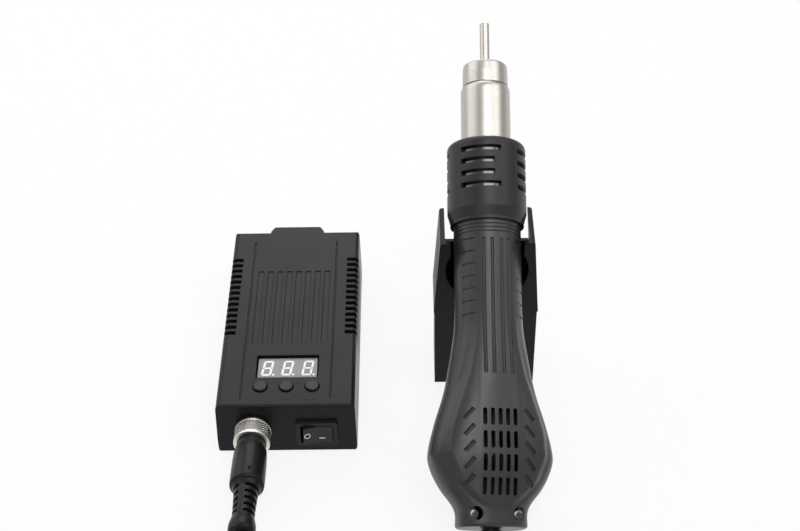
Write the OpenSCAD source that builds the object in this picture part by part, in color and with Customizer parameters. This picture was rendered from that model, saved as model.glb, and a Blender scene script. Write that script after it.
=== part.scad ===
// Hot air rework station: a small control box, the hot air gun on its cord,
// and the holder that the gun lies in.
// Millimetres, Z up. The station stands on z = 0, and the front of the box looks along -Y.

/* [Control box] */
// Width of the box at its foot
case_w = 70.5; // [68:0.5:76]
// Width of the box at its top
case_w_top = 69.3; // [66:0.1:74]
// Length of the box, front to back
case_len = 135; // [133:1:150]
// Height of the box above the table
case_h = 30.5; // [30:0.5:34]
// How far the front leans back at the top
front_lean = 3.1; // [2:0.1:4]
// Wall of both shells
case_wall = 2.2; // [1.8:0.1:2.6]
// Height of the joint between the shells
seam_h = 4.8; // [4.4:0.1:5.4]
// Rounding of the long top edges
case_edge_r = 2.6; // [1:0.1:3.6]
// Rounding of the upright corners at the back
case_corner_r = 3; // [1:0.5:5]
// Thickness of the floor of the box
floor_t = 2; // [1.8:0.1:2.4]
// How far the rubber feet stand out
foot_h = 0.8; // [0.5:0.1:1.4]
// Diameter of a rubber foot
foot_d = 9; // [6:0.5:11]
// Width of the rear hood at its root
hood_w = 29.6; // [26:0.2:34]
// How far the rear hood stands out
hood_len = 3.8; // [2:0.1:6]
// Thickness of the rear hood
hood_t = 2.6; // [2:0.1:2.8]

/* [Top face] */
// Number of vent slots on each side
vent_count = 14; // [8:1:15]
// Distance from one vent slot to the next
vent_pitch = 4.35; // [3.6:0.05:4.6]
// Width of a vent slot
vent_slot = 2.5; // [1.5:0.1:2.8]
// Middle of the first vent slot, from the front
vent_start = 54.8; // [50:0.1:58]
// How far a vent slot reaches in from the side
vent_reach = 6.2; // [4:0.1:9]
// How far a vent slot runs down the side
vent_drop = 14; // [8:0.5:18]
// Number of shallow bars in the top
bar_count = 8; // [4:1:8]
// Distance from one bar to the next
bar_pitch = 5.1; // [4:0.1:5.4]
// Width of a bar
bar_w = 3; // [2:0.1:3.4]
// Length of a bar
bar_len = 55; // [40:1:60]
// Depth of the bars and of the long panel lines
relief_depth = 0.4; // [0.2:0.1:0.8]
// Distance between the two long panel lines
panel_w = 45; // [43:0.5:48]

/* [Display and buttons] */
// Width of the display
display_w = 30; // [26:0.5:32]
// Length of the display
display_len = 14; // [12:0.5:15]
// Height of the display block
display_t = 7.2; // [6:0.1:7.6]
// Middle of the display, from the front
display_y = 30.3; // [29.5:0.1:32]
// How far the display lies below the top
display_sink = 1.5; // [0.8:0.1:2]
// Gap round the display in its window
display_gap = 0.8; // [0.3:0.1:1]
// Diameter of a button
button_d = 7; // [5:0.1:7.6]
// Distance from one button to the next
button_pitch = 13.05; // [11:0.05:13.4]
// Middle of the buttons, from the front
button_y = 16.1; // [15.5:0.1:17]
// How far a button stands out
button_proud = 1; // [0.6:0.1:1.5]
// Travel of a button
button_travel = 0.5; // [0.3:0.1:0.6]
// Thickness of the circuit boards
board_t = 1.6; // [1:0.2:1.6]

/* [Rocker switch] */
// Width of the switch's rim
switch_w = 21; // [20:0.1:22]
// Height of the switch's rim
switch_h = 15; // [14:0.1:15.6]
// Middle of the switch, across the front
switch_x = 15.2; // [13:0.1:16]
// Middle of the switch, up the front
switch_z = 12.9; // [12.7:0.1:13.4]
// Depth of the switch behind the front
switch_depth = 15; // [12:0.5:18]
// Length of the rocker
rocker_len = 14.4; // [13:0.1:14.8]
// Height of the rocker
rocker_h = 10.3; // [9:0.1:10.8]
// Angle that each half of the rocker slopes
rocker_slope = 8; // [6:0.5:9]

/* [Socket and plug] */
// Middle of the socket, across the front
socket_x = -16.6; // [-18:0.1:-15]
// Middle of the socket, up the front
socket_z = 15.3; // [15:0.1:16]
// Diameter of the socket's barrel
socket_d = 14.4; // [13:0.1:15]
// Diameter of the coupling ring
ring_d = 18.4; // [17.8:0.1:19.5]
// Length of the coupling ring
ring_len = 9.6; // [9.4:0.1:12]
// Number of grips round the coupling ring
ring_teeth = 44; // [24:2:60]
// Diameter of the plug's body
plug_d = 17; // [16:0.1:18]
// Length of the plug's body, behind the ring
plug_len = 30; // [24:0.5:30]
// Length of the plug's ribbed sleeve
sleeve_len = 27.8; // [27.8:0.1:29]
// Number of slot rings in the sleeve
sleeve_rings = 5; // [2:1:5]

/* [Mains inlet] */
// Width of the inlet's rim
inlet_rim_w = 30.7; // [29:0.1:33]
// Height of the inlet's rim
inlet_rim_h = 23.6; // [22:0.1:23.8]
// Width of the inlet's recess
inlet_w = 24.5; // [23:0.1:25]
// Height of the inlet's recess
inlet_h = 17; // [16:0.1:17.4]
// Depth of the inlet's recess
inlet_depth = 16; // [12:0.5:18]

/* [Handle of the gun] */
// Length of the handle, from its tail to the collar's rim
handle_len = 148; // [146:0.5:150]
// Width of the bulb
bulb_w = 60.6; // [56:0.2:64]
// Depth of the bulb
bulb_d = 36; // [35:0.2:38]
// Widest place of the bulb, from the tail
bulb_at = 34; // [33:0.5:36]
// Width of the tail
tail_w = 34; // [33:0.2:36]
// Depth of the tail
tail_d = 26.4; // [26:0.2:27]
// Straight length of the tail
tail_len = 9; // [8:0.5:10]
// Diameter of the grip
grip_d = 33.4; // [32.8:0.1:33.6]
// Where the grip begins, from the tail
grip_at = 98; // [92:1:104]
// Wall of the handle
handle_wall = 2.2; // [1.8:0.1:2.4]
// Number of rows of vents
grille_rows = 4; // [2:1:4]
// Number of vents in a row
grille_cols = 5; // [3:1:5]
// Length of one vent
grille_len = 8.2; // [6:0.1:9]
// Width of one vent
grille_slot = 2; // [1.4:0.1:2.4]
// Distance from one vent to its neighbour
grille_pitch = 3.7; // [3.2:0.1:4]
// Distance from one row to the next
grille_row_pitch = 10.8; // [9.6:0.1:11]
// Width of a long flute in the grip
flute_w = 1.9; // [1:0.1:2.4]
// Depth of a long flute
flute_depth = 0.8; // [0.4:0.1:1]
// Where the flutes begin, from the tail
flute_start = 71; // [66:1:80]
// Where the flutes end, from the tail
flute_end = 139; // [120:1:139]
// Number of short grooves on each side of the grip
ridge_count = 7; // [3:1:7]
// Distance from one short groove to the next
ridge_pitch = 6.25; // [5:0.05:6.3]
// Number of slanting grooves on each side of the bulb
slant_count = 5; // [2:1:5]
// Diameter of a screw's sink in the tail
sink_d = 6.6; // [5:0.1:7]
// Distance between the two tail screws
sink_spacing = 21.2; // [18:0.2:22]

/* [Collar, heater and nozzle] */
// Diameter of the slotted collar
collar_d = 39.4; // [39:0.1:39.8]
// Length of the collar
collar_len = 42.5; // [42:0.5:46]
// Wall of the collar
collar_wall = 2; // [1.6:0.1:2.2]
// Rows of slots round the collar
slot_rows = 4; // [3:1:4]
// Groups of slots round the collar
slot_groups = 4; // [3:1:4]
// Height of a slot
slot_h = 2.7; // [2:0.1:3.2]
// Distance from one row of slots to the next
slot_pitch = 6.2; // [5:0.05:6.3]
// Angle that a long slot takes
slot_angle = 61.6; // [40:0.2:66]
// Angle that a short slot takes
slot_angle_short = 52.2; // [36:0.2:60]
// Diameter of the steel tube
tube_d = 25; // [24:0.1:25.4]
// Wall of the steel tube
tube_wall = 0.7; // [0.5:0.1:0.8]
// How far the steel tube stands out of the collar
tube_out = 31.5; // [26:0.5:36]
// Diameter of the nozzle's cap
cap_d = 23; // [22.6:0.1:23.6]
// Length of the nozzle's cap
cap_len = 11.6; // [10:0.2:15]
// Outside diameter of the nozzle's pipe
pipe_d = 4.9; // [4:0.1:8]
// Wall of the nozzle's pipe
pipe_wall = 0.45; // [0.4:0.05:0.8]
// Length of the nozzle's pipe
pipe_len = 23.4; // [16:0.2:30]

/* [Blower] */
// Diameter of the fan wheel
fan_d = 34; // [30:0.5:36]
// Height of the fan wheel
fan_h = 11; // [9:0.5:12]
// Number of blades
blade_count = 22; // [12:1:26]
// Diameter of the blower's housing
housing_d = 42; // [40:0.5:43]
// Height of the blower's housing
housing_h = 19; // [18.5:0.5:19.5]
// Diameter of the motor
motor_d = 20; // [16:0.5:21]

/* [Holder] */
// Width of the holder's foot
holder_w = 51.8; // [51:0.2:56]
// Width of the holder at its shoulder
holder_shoulder_w = 52.8; // [52:0.2:57]
// Width of the holder at its top
holder_top_w = 46.4; // [46.2:0.2:50]
// Height of the shoulder
holder_shoulder = 51; // [48:1:54]
// Height of the holder
holder_h = 97; // [96:0.5:102]
// Thickness of the holder's front wall
holder_front = 3; // [2:0.1:3.4]
// Thickness of the holder's side walls
holder_side = 2.4; // [1.8:0.1:2.4]
// Thickness of the holder's floor
holder_floor = 2.4; // [1.6:0.1:4]
// Depth of the holder
holder_depth = 27.4; // [27.2:0.1:27.5]
// How far the back plate lies in from the holder's rear edges
plate_in = 0.8; // [0.7:0.1:1]
// Thickness of the back plate
plate_t = 2.2; // [1.8:0.1:2.4]
// Diameter of the round notch
notch_d = 41; // [40:0.2:41.4]
// Width of the notch's mouth
mouth_w = 36; // [35.6:0.1:36.8]

/* [Places on the table] */
// Middle of the box, across
case_x = -47.5; // [-52:0.5:-46]
// Front of the box
case_y = -44.5; // [-50:0.5:-42]
// Middle of the holder, across
holder_x = 53.5; // [53.3:0.1:53.8]
// Front of the holder
holder_y = 2.5; // [2.3:0.1:2.6]
// Middle of the gun's tail, across
gun_x = 52.3; // [52:0.1:52.5]
// End of the gun's tail
gun_y = -104.5; // [-104.6:0.1:-104.3]
// Angle that the gun rises at
gun_pitch = 33; // [32.8:0.1:33.2]
// Angle that the gun turns to the right
gun_yaw = 0.75; // [0.5:0.05:0.85]
// Angle that the gun is rolled over
gun_roll = 14; // [12:0.5:16]

/* [Cord] */
// Diameter of the cord
cord_d = 7; // [6:0.1:7.2]

/* [Hidden] */
$fn = 64;

// Clearances
seat = 0.3;
slip = 0.08;
hair = 0.05;

// Colours
shell_black = [0.05, 0.05, 0.055];
rubber_black = [0.08, 0.08, 0.08];
steel = [0.72, 0.70, 0.67];
zinc = [0.8, 0.8, 0.8];
board_green = [0.05, 0.3, 0.14];
brass_yellow = [0.8, 0.62, 0.25];
mica_pale = [0.78, 0.74, 0.62];

// Derived places of the control box
floor_z = foot_h + floor_t;
roof_z = case_h - case_wall;
lean_angle = atan(front_lean / (case_h - foot_h));
boss_d = 6;
boss_x = case_w_top / 2 - case_wall - boss_d / 2 + 1;
boss_front = 9;
boss_back = case_len - case_wall - boss_d / 2 + 1;
screw_d = 2.4;
screw_head_d = 4.6;
screw_head_t = 1.4;
screw_seat = 2.4;
screw_len = 12;
seam_gap = 0.2;
lip_t = 1;
lip_h = 1.8;
feet_x = 22;
feet_in = 20;
foot_root = 1.2;

// Derived places of the display board
display_top = case_h - display_sink;
display_board_z = display_top - display_t - board_t;
display_board_w = 40;
display_board_front = 8.6;
display_board_back = display_y + display_len / 2 + 3;
display_post_d = 3.2;
display_post_in = 1.8;
button_flange_t = 0.9;
button_flange_d = button_d + 2;
button_flange_top = roof_z - seat;
tact_h = 3.4;
tact_w = 6;
tact_plunger_d = 3.4;
tact_plunger_h = 0.6;
button_foot_z = display_board_z + board_t + tact_h + tact_plunger_h + button_travel + 0.2;

// Derived places of the power board
power_board_w = 58;
power_board_y = 43;
power_board_len = case_len - power_board_y - 20;
power_board_z = 7.4;
power_post_in = 4;
parts_z = power_board_z + board_t;
sink_y = power_board_y + power_board_len - 26;
fuse_y = power_board_y + power_board_len - 10;

// Derived places of the rocker switch
switch_rim_t = 2;
switch_body_w = switch_w - 2.2;
switch_body_h = switch_h - 2.2;
switch_hole_w = rocker_len + 1.7;
switch_hole_h = rocker_h + 2 * seat;
pivot_depth = 1;
pivot_pin_d = 2;
pivot_pin_len = 0.8;
rocker_face = switch_rim_t + 0.2;

// Derived places of the socket and the plug, measured out of the front
flange_t = 1.5;
flange_d = ring_d - 0.6;
barrel_out = 8;
ring_start = flange_t + seat;
ring_end = ring_start + ring_len;
ring_bore = socket_d + 2 * slip;
plug_start = ring_end + seat;
plug_end = plug_start + plug_len;
sleeve_tip = plug_end + sleeve_len;
socket_nut_t = 2.5;
insulator_d = 9.4;

// Derived places of the mains inlet
inlet_z = (floor_z + roof_z) / 2;
inlet_rim_t = 2.4;
inlet_wall = 1.2;
inlet_body_w = inlet_w + 2 * inlet_wall;
inlet_body_h = inlet_h + 2 * inlet_wall;
pin_w = 2;
pin_h = 4;
pin_x = 7;
pin_tail = 5;

// Derived places of the gun
grip_r = grip_d / 2;
collar_r = collar_d / 2;
collar_rim_r = collar_r - 1.4;
collar_top = handle_len + collar_len;
spigot_len = 9;
spigot_end = handle_len + spigot_len;
spigot_r = grip_r - 0.2;
tail_block = 11;
tube_top = collar_top + tube_out;
tube_r = tube_d / 2;
tube_shoulder = 3.4;
tube_flange_r = collar_r - collar_wall - slip;
tube_flange_t = 1.2;
neck_r = cap_d / 2 - 0.6;
neck_len = 7;
fan_at = bulb_at + 1;
housing_wall = 1.2;
housing_low = 1 - housing_h / 2;
motor_h = 4.6;
shaft_d = 2;
sleeve_root = 7;
sleeve_bend = 40;
cord_hole_d = 9;

// Sections of the handle: distance from the tail, half width, half depth and roundness
tail_swell = tail_w / 2 + 0.6;
handle_keys = [
    [0, tail_w / 2, tail_d / 2, 2.5],
    [tail_len, tail_swell, tail_d / 2 + 0.6, 2.5],
    [mix(tail_len, bulb_at, 0.4), mix(tail_swell, bulb_w / 2, 0.57), mix(tail_d, bulb_d, 0.55) / 2, 2.5],
    [mix(tail_len, bulb_at, 0.72), mix(tail_swell, bulb_w / 2, 0.89), mix(tail_d, bulb_d, 0.9) / 2, 2.5],
    [bulb_at, bulb_w / 2, bulb_d / 2, 2.5],
    [mix(bulb_at, grip_at, 0.22), mix(bulb_w, grip_d, 0.22) / 2, bulb_d / 2, 2.4],
    [mix(bulb_at, grip_at, 0.47), mix(bulb_w, grip_d, 0.58) / 2, mix(bulb_d, grip_d, 0.2) / 2, 2.25],
    [mix(bulb_at, grip_at, 0.72), mix(bulb_w, grip_d, 0.81) / 2, mix(bulb_d, grip_d, 0.5) / 2, 2.1],
    [grip_at, grip_r + 0.15, grip_r + 0.1, 2],
    [handle_len - 10, grip_r, grip_r, 2],
    [handle_len + 12, grip_r, grip_r, 2]
];
outer_stations = [
    0, 3, 6, 9, 12, 15, 18, 21, 25, 29, 33, 37, 42, 47, 52, 58, 64, 70, 76, 84, 92, 100, 124, handle_len - hair
];
inner_stations = [tail_block, 15, 19, 24, 29, 34, 40, 47, 54, 62, 70, 80, 90, 100, 124, handle_len + 3];
arc_steps = 22;

// The tail rests on the table: how far its section reaches down
tail_reach = max([
    for (a = [0:3:360]) let (p = handle_point(0, a, 0)) p.x * sin(gun_roll) - p.y * cos(gun_roll)
]);
gun_z = tail_reach * cos(gun_pitch) + 0.1;

// Derived places of the holder
plate_y = holder_depth - plate_in - plate_t;
plate_rear = plate_y + plate_t;
notch_z = gun_axis_z(holder_y + holder_front / 2) - 3.2;
plate_top = gun_axis_z(holder_y + plate_y) - grip_r / cos(gun_pitch) + 0.1;
post_d = 7;
post_low = 10;
post_high = 44;
lead_r = 2.7;

// The route of the cord: chosen points, each the middle of the cord
cord_r = cord_d / 2;
coil_x = -2;
coil_y = -170;
coil_in = 30;
coil_out = 50;
coil_h = 14;
route_to_coil = [
    [-64.1, -112.2, 22.5], [-64.1, -118, 23], [-64.1, -124, 22.7], [-64, -130, 21.2], [-63.7, -136, 18],
    [-63.1, -142, 13.8], [-62, -148, 9.4], [-60.4, -154, 6], [-58.3, -160, 4.2], [-56, -166, 3.7],
    [-53.6, -172, 3.6], [-51.4, -178, 3.6], [-49.2, -184, 3.6], [-46, -190, 3.6]
];
route_to_gun = [
    [41.1, -166, 10.3], [41.7, -160, 10.1], [43.2, -154, 9.5], [45.4, -148, 8.4], [47.8, -142.2, 7],
    [50.4, -136.6, 5.8], [51.7, -131.4, 5.3], [51.9, -126.8, 5.3]
];

// Plain helpers

function mix(a, b, t) = a + (b - a) * t;
function unit(v) = v / norm(v);
function sign_power(v, p) = sign(v) * pow(abs(v), p);

// Height of the gun's axis above a place y
function gun_axis_z(y) = gun_z + (y - gun_y) * tan(gun_pitch) / cos(gun_yaw);

// The front and the side of the box at a height
function front_y(z) = front_lean * (z - foot_h) / (case_h - foot_h);
function side_x(z) = mix(case_w, case_w_top, (z - foot_h) / (case_h - foot_h)) / 2;

// One rounded corner: the arc that touches both sides
function corner(a, p, b, r, n) =
    let (
        u = unit(a - p),
        v = unit(b - p),
        half = acos(u * v) / 2,
        middle = p + unit(u + v) * r / sin(half),
        start = p + u * r / tan(half) - middle,
        end = p + v * r / tan(half) - middle,
        from = atan2(start.y, start.x),
        turn = atan2(end.y, end.x) - from,
        sweep = turn > 180 ? turn - 360 : turn < -180 ? turn + 360 : turn
    )
    r <= 0 ? [p] : [for (i = [0:n]) middle + r * [cos(from + sweep * i / n), sin(from + sweep * i / n)]];

// An outline with a radius at each corner
function rounded(pts, radii, n = 6) =
    let (c = len(pts))
    [for (i = [0:c - 1]) each corner(pts[(i + c - 1) % c], pts[i], pts[(i + 1) % c], radii[i], n)];

function box_outline(w, h, r) =
    rounded([[-w / 2, -h / 2], [w / 2, -h / 2], [w / 2, h / 2], [-w / 2, h / 2]], [r, r, r, r], 4);

// A prism whose outline is drawn in XZ, from y = 0 back
module upright(t) {
    translate([0, t, 0]) rotate([90, 0, 0]) linear_extrude(t) children();
}

// A prism whose outline is drawn in YZ, w wide and centred
module sideways(w) {
    translate([-w / 2, 0, 0]) rotate([90, 0, 90]) linear_extrude(w) children();
}

// A round bar from one point to another
module rod(a, b, d) {
    way = b - a;
    translate(a)
        rotate([0, acos(way.z / norm(way)), atan2(way.y, way.x)])
            cylinder(d = d, h = norm(way), $fn = 24);
}

// A solid through rows of points, one row for each section
module skin(rows) {
    count = len(rows[0]);
    last = len(rows) - 1;
    points = [for (row = rows) each row];
    walls = [
        for (i = [0:last - 1]) for (k = [0:count - 1])
            [
                i * count + k, i * count + (k + 1) % count,
                (i + 1) * count + (k + 1) % count, (i + 1) * count + k
            ]
    ];
    start = [for (k = [count - 1:-1:0]) k];
    end = [for (k = [0:count - 1]) last * count + k];
    polyhedron(points, concat(walls, [start], [end]), convexity = 8);
}

// A tube swept along a route of points
function ring_at(route, i, r, sides) =
    let (
        last = len(route) - 1,
        way = unit(route[min(i + 1, last)] - route[max(i - 1, 0)]),
        across = unit(cross(way, [0, 0, 1])),
        upward = cross(across, way)
    )
    [
        for (k = [0:sides - 1])
            route[i] + r * (cos(360 * k / sides) * across + sin(360 * k / sides) * upward)
    ];

module swept_tube(route, r, sides = 10) {
    skin([for (i = [0:len(route) - 1]) ring_at(route, i, r, sides)]);
}

// Places

module place_case() {
    translate([case_x, case_y, 0]) children();
}

// A place on the leaning front: Y points into the box, square to the face
module place_front(x, z) {
    place_case() translate([x, front_y(z), z]) rotate([-lean_angle, 0, 0]) children();
}

module place_inlet() {
    place_case() translate([0, case_len, inlet_z]) children();
}

// Socket, plug and sleeve are turned about one line, and distances run out of the front
module place_plug() {
    place_front(socket_x, socket_z) mirror([0, 1, 0]) children();
}

// The gun's own frame: Y runs from the tail to the nozzle, Z out of the face with the flutes
module place_gun_straight() {
    translate([gun_x, gun_y, gun_z]) rotate([gun_pitch, 0, -gun_yaw]) children();
}

module place_gun() {
    place_gun_straight() rotate([0, gun_roll, 0]) children();
}

module place_fan() {
    place_gun() translate([0, fan_at, 0]) children();
}

module place_holder() {
    translate([holder_x, holder_y, 0]) children();
}

// A turned piece along Y, drawn as radius and distance
module turned(points) {
    rotate([-90, 0, 0]) rotate_extrude() polygon(points);
}

// Part of a turned piece: angles are counted from the top, to the right
module turned_part(points, from, to) {
    rotate([-90, 0, 0]) rotate([0, 0, from - 90]) rotate_extrude(angle = to - from) polygon(points);
}

// Control box

// The outside of the box, or its inside when there is an inset
module case_solid(inset) {
    edge = max(case_edge_r - inset, 0.3);
    back_r = max(case_corner_r - inset, 0.3);
    front_r = max(case_corner_r / 2 - inset, 0.3);
    foot_r = inset > 0 ? 0 : 1.2;
    low = inset > 0 ? floor_z : foot_h;
    high = case_h - min(inset, case_wall);
    low_x = side_x(low) - inset;
    high_x = side_x(high) - inset;
    plan_x = case_w / 2 - inset;
    intersection() {
        upright(case_len)
            polygon(rounded(
                [[-low_x, low], [low_x, low], [high_x, high], [-high_x, high]],
                [foot_r, foot_r, edge, edge]
            ));
        sideways(case_w + 2)
            polygon(rounded(
                [
                    [front_y(low) + inset, low], [case_len - inset, low],
                    [case_len - inset, high], [front_y(high) + inset, high]
                ],
                [0, 0, edge * 0.7, edge * 0.5]
            ));
        translate([0, 0, -1])
            linear_extrude(case_h + 2)
                polygon(rounded(
                    [
                        [-plan_x, inset], [plan_x, inset],
                        [plan_x, case_len - inset], [-plan_x, case_len - inset]
                    ],
                    [front_r, front_r, back_r, back_r]
                ));
    }
}

// Everything between two heights
module slab(low, high) {
    translate([-case_w, -10, low]) cube([2 * case_w, case_len + 20, high - low]);
}

module boss_places() {
    for (x = [-boss_x, boss_x]) {
        for (y = [boss_front, boss_back]) {
            translate([x, y, 0]) children();
        }
    }
}

module display_post_places() {
    for (x = [-1, 1]) {
        for (y = [display_board_front + display_post_in, display_board_back - display_post_in]) {
            translate([x * (display_board_w / 2 - display_post_in), y, 0]) children();
        }
    }
}

module power_post_places() {
    for (x = [-1, 1]) {
        for (y = [power_board_y + power_post_in, power_board_y + power_board_len - power_post_in]) {
            translate([x * (power_board_w / 2 - power_post_in), y, 0]) children();
        }
    }
}

module feet_places() {
    for (x = [-feet_x, feet_x]) {
        for (y = [feet_in, case_len - feet_in]) {
            translate([x, y, 0]) children();
        }
    }
}

module side_vents() {
    for (i = [0:vent_count - 1]) {
        for (side = [-1, 1]) {
            translate([
                side > 0 ? case_w_top / 2 - vent_reach : -case_w_top / 2 - 3,
                vent_start + i * vent_pitch - vent_slot / 2,
                case_h - vent_drop
            ])
                cube([vent_reach + 3, vent_slot, vent_drop + 1]);
        }
    }
}

// Shallow bars and panel lines in the top
module top_relief() {
    bar_front = 47;
    line_front = 8;
    line_back = 126;
    line_w = 0.8;
    translate([0, 0, case_h - relief_depth]) {
        for (i = [0:bar_count - 1]) {
            translate([(i - (bar_count - 1) / 2) * bar_pitch - bar_w / 2, bar_front, 0])
                cube([bar_w, bar_len, 1]);
        }
        for (side = [-1, 1]) {
            translate([side * panel_w / 2 - line_w / 2, line_front, 0])
                cube([line_w, line_back - line_front, 1]);
        }
    }
}

module rear_hood() {
    hood_tip = hood_w - 4.2;
    translate([0, 0, case_h - hood_t])
        linear_extrude(hood_t)
            polygon(rounded(
                [
                    [-hood_w / 2, case_len - case_wall], [hood_w / 2, case_len - case_wall],
                    [hood_w / 2, case_len - hair], [hood_tip / 2, case_len + hood_len],
                    [-hood_tip / 2, case_len + hood_len], [-hood_w / 2, case_len - hair]
                ],
                [0, 0, 0, 1.4, 1.4, 0]
            ));
}

module case_top() {
    color(shell_black)
        difference() {
            place_case()
                union() {
                    difference() {
                        case_solid(0);
                        case_solid(case_wall);
                        slab(-1, seam_h + seam_gap);
                        side_vents();
                    }
                    boss_places()
                        translate([0, 0, seam_h + seam_gap]) cylinder(d = boss_d, h = roof_z - seam_h);
                    display_post_places()
                        translate([0, 0, display_board_z + board_t])
                            cylinder(
                                d = display_post_d, h = roof_z - display_board_z - board_t + 0.5, $fn = 24
                            );
                    rear_hood();
                }
            place_case() {
                boss_places()
                    cylinder(d = screw_d + 2 * hair, h = foot_h + screw_seat + screw_len + 1, $fn = 24);
                translate([
                    -display_w / 2 - display_gap, display_y - display_len / 2 - display_gap, roof_z - 1
                ])
                    cube([display_w + 2 * display_gap, display_len + 2 * display_gap, case_wall + 2]);
                for (i = [-1:1]) {
                    translate([i * button_pitch, button_y, roof_z - 1])
                        cylinder(d = button_d + 2 * seat, h = case_wall + 2);
                }
                top_relief();
            }
            place_inlet()
                translate([-inlet_body_w / 2 - hair, -10, -inlet_body_h / 2 - hair])
                    cube([inlet_body_w + 2 * hair, 20, inlet_body_h + 2 * hair]);
            place_front(socket_x, socket_z)
                rotate([90, 0, 0]) cylinder(d = socket_d + 2 * hair, h = 12, center = true);
            place_front(switch_x, switch_z)
                translate([-switch_body_w / 2 - hair, -5, -switch_body_h / 2 - hair])
                    cube([switch_body_w + 2 * hair, 12, switch_body_h + 2 * hair]);
        }
}

module case_base() {
    color(shell_black)
        place_case()
            difference() {
                union() {
                    difference() {
                        union() {
                            intersection() {
                                case_solid(0);
                                slab(-1, seam_h);
                            }
                            // The lip that locates the top shell
                            difference() {
                                intersection() {
                                    case_solid(case_wall + hair);
                                    slab(floor_z + 0.5, seam_h + lip_h);
                                }
                                translate([-inlet_rim_w / 2, case_len - 10, seam_h])
                                    cube([inlet_rim_w, 20, 10]);
                                translate([-case_w, -10, seam_h]) cube([2 * case_w, 16 + case_wall, 10]);
                                boss_places()
                                    translate([0, 0, seam_h]) cylinder(d = boss_d + 2 * seat, h = 20);
                            }
                        }
                        case_solid(case_wall + hair + lip_t);
                    }
                    boss_places()
                        translate([0, 0, floor_z - 0.5]) cylinder(d = boss_d, h = seam_h - floor_z + 0.5);
                    power_post_places()
                        translate([0, 0, floor_z - 0.5])
                            cylinder(d = 5, h = power_board_z - floor_z + 0.5, $fn = 32);
                }
                boss_places() {
                    cylinder(d = screw_d + 0.6, h = 20, $fn = 24);
                    cylinder(d = screw_head_d + 0.4, h = foot_h + screw_seat, $fn = 32);
                }
                feet_places() cylinder(d = foot_d + 2 * hair, h = foot_h + foot_root);
            }
}

module rubber_feet() {
    color(rubber_black)
        place_case()
            feet_places() {
                cylinder(d = foot_d - 1, h = foot_h);
                translate([0, 0, 0.3]) cylinder(d = foot_d, h = foot_h + foot_root - 0.3);
            }
}

module case_screws() {
    color(zinc)
        place_case()
            boss_places()
                translate([0, 0, foot_h + screw_seat - screw_head_t]) {
                    cylinder(d = screw_head_d, h = screw_head_t, $fn = 32);
                    cylinder(d = screw_d, h = screw_head_t + screw_len, $fn = 24);
                }
}

module display_board() {
    color(board_green)
        place_case()
            translate([-display_board_w / 2, display_board_front, display_board_z])
                cube([display_board_w, display_board_back - display_board_front, board_t]);
}

module display_module() {
    color([0.3, 0.3, 0.32])
        place_case()
            translate([-display_w / 2, display_y - display_len / 2, display_board_z + board_t])
                cube([display_w, display_len, display_t]);
}

// One push button: a cap with a rounded edge on a flange under the roof
module push_button(i) {
    r = button_d / 2;
    cap_top = case_h + button_proud;
    flange_low = button_flange_top - button_flange_t;
    foot = min(button_foot_z, flange_low - 0.1);
    color([0.06, 0.06, 0.065])
        place_case()
            translate([i * button_pitch, button_y, 0])
                rotate_extrude()
                    polygon(concat(
                        [
                            [0, foot], [1.5, foot], [1.5, flange_low], [button_flange_d / 2, flange_low],
                            [button_flange_d / 2, button_flange_top], [r, button_flange_top]
                        ],
                        corner([r, 0], [r, cap_top], [0, cap_top], 0.6, 4),
                        [[0, cap_top]]
                    ));
}

module button_left() {
    push_button(-1);
}

module button_middle() {
    push_button(0);
}

module button_right() {
    push_button(1);
}

module tact_switches() {
    color([0.12, 0.12, 0.12])
        place_case()
            for (i = [-1:1]) {
                translate([i * button_pitch, button_y, display_board_z + board_t]) {
                    translate([-tact_w / 2, -tact_w / 2, 0]) cube([tact_w, tact_w, tact_h]);
                    cylinder(d = tact_plunger_d, h = tact_h + tact_plunger_h, $fn = 32);
                }
            }
}

module power_board() {
    color(board_green)
        place_case()
            translate([-power_board_w / 2, power_board_y, power_board_z])
                cube([power_board_w, power_board_len, board_t]);
}

module transformer() {
    core_w = 24;
    core_l = 20;
    core_h = 15;
    color([0.16, 0.15, 0.14])
        place_case()
            translate([-16, power_board_y + 15, parts_z]) {
                translate([-core_w / 2, -core_l / 2, 2]) cube([core_w, core_l, core_h - 2]);
                translate([-core_w / 2 + 3, -core_l / 2 - 3, 0]) cube([core_w - 6, core_l + 6, 10]);
            }
}

module capacitors() {
    color([0.1, 0.12, 0.2])
        place_case()
            for (i = [0:1]) {
                translate([16, power_board_y + 9 + 13 * i, parts_z]) cylinder(d = 10, h = 15);
            }
}

module heat_sink() {
    sink_w = 34;
    fins = 6;
    fin_t = 1.2;
    color([0.6, 0.6, 0.62])
        place_case()
            translate([-sink_w / 2, sink_y, parts_z]) {
                cube([sink_w, 2, 15]);
                for (i = [0:fins - 1]) {
                    translate([i * (sink_w - fin_t) / (fins - 1), 0, 0]) cube([fin_t, 11, 15]);
                }
            }
}

module triac() {
    color([0.09, 0.09, 0.09])
        place_case()
            translate([-5, sink_y - 4.5 - slip, parts_z]) {
                translate([0, 0, 3]) cube([10, 4.5, 9]);
                for (i = [0:2]) {
                    translate([2 + 2.5 * i, 1.8, 0]) cube([0.9, 0.9, 3.1]);
                }
            }
}

module fuse() {
    color([0.75, 0.75, 0.7])
        place_case()
            translate([2, fuse_y, parts_z]) {
                translate([0, 0, 3.1]) rotate([0, 90, 0]) cylinder(d = 5, h = 20, $fn = 32);
                for (x = [0, 16]) {
                    translate([x, -3.2, 0]) cube([4, 6.4, 3.1]);
                }
            }
}

// Rocker switch

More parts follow.
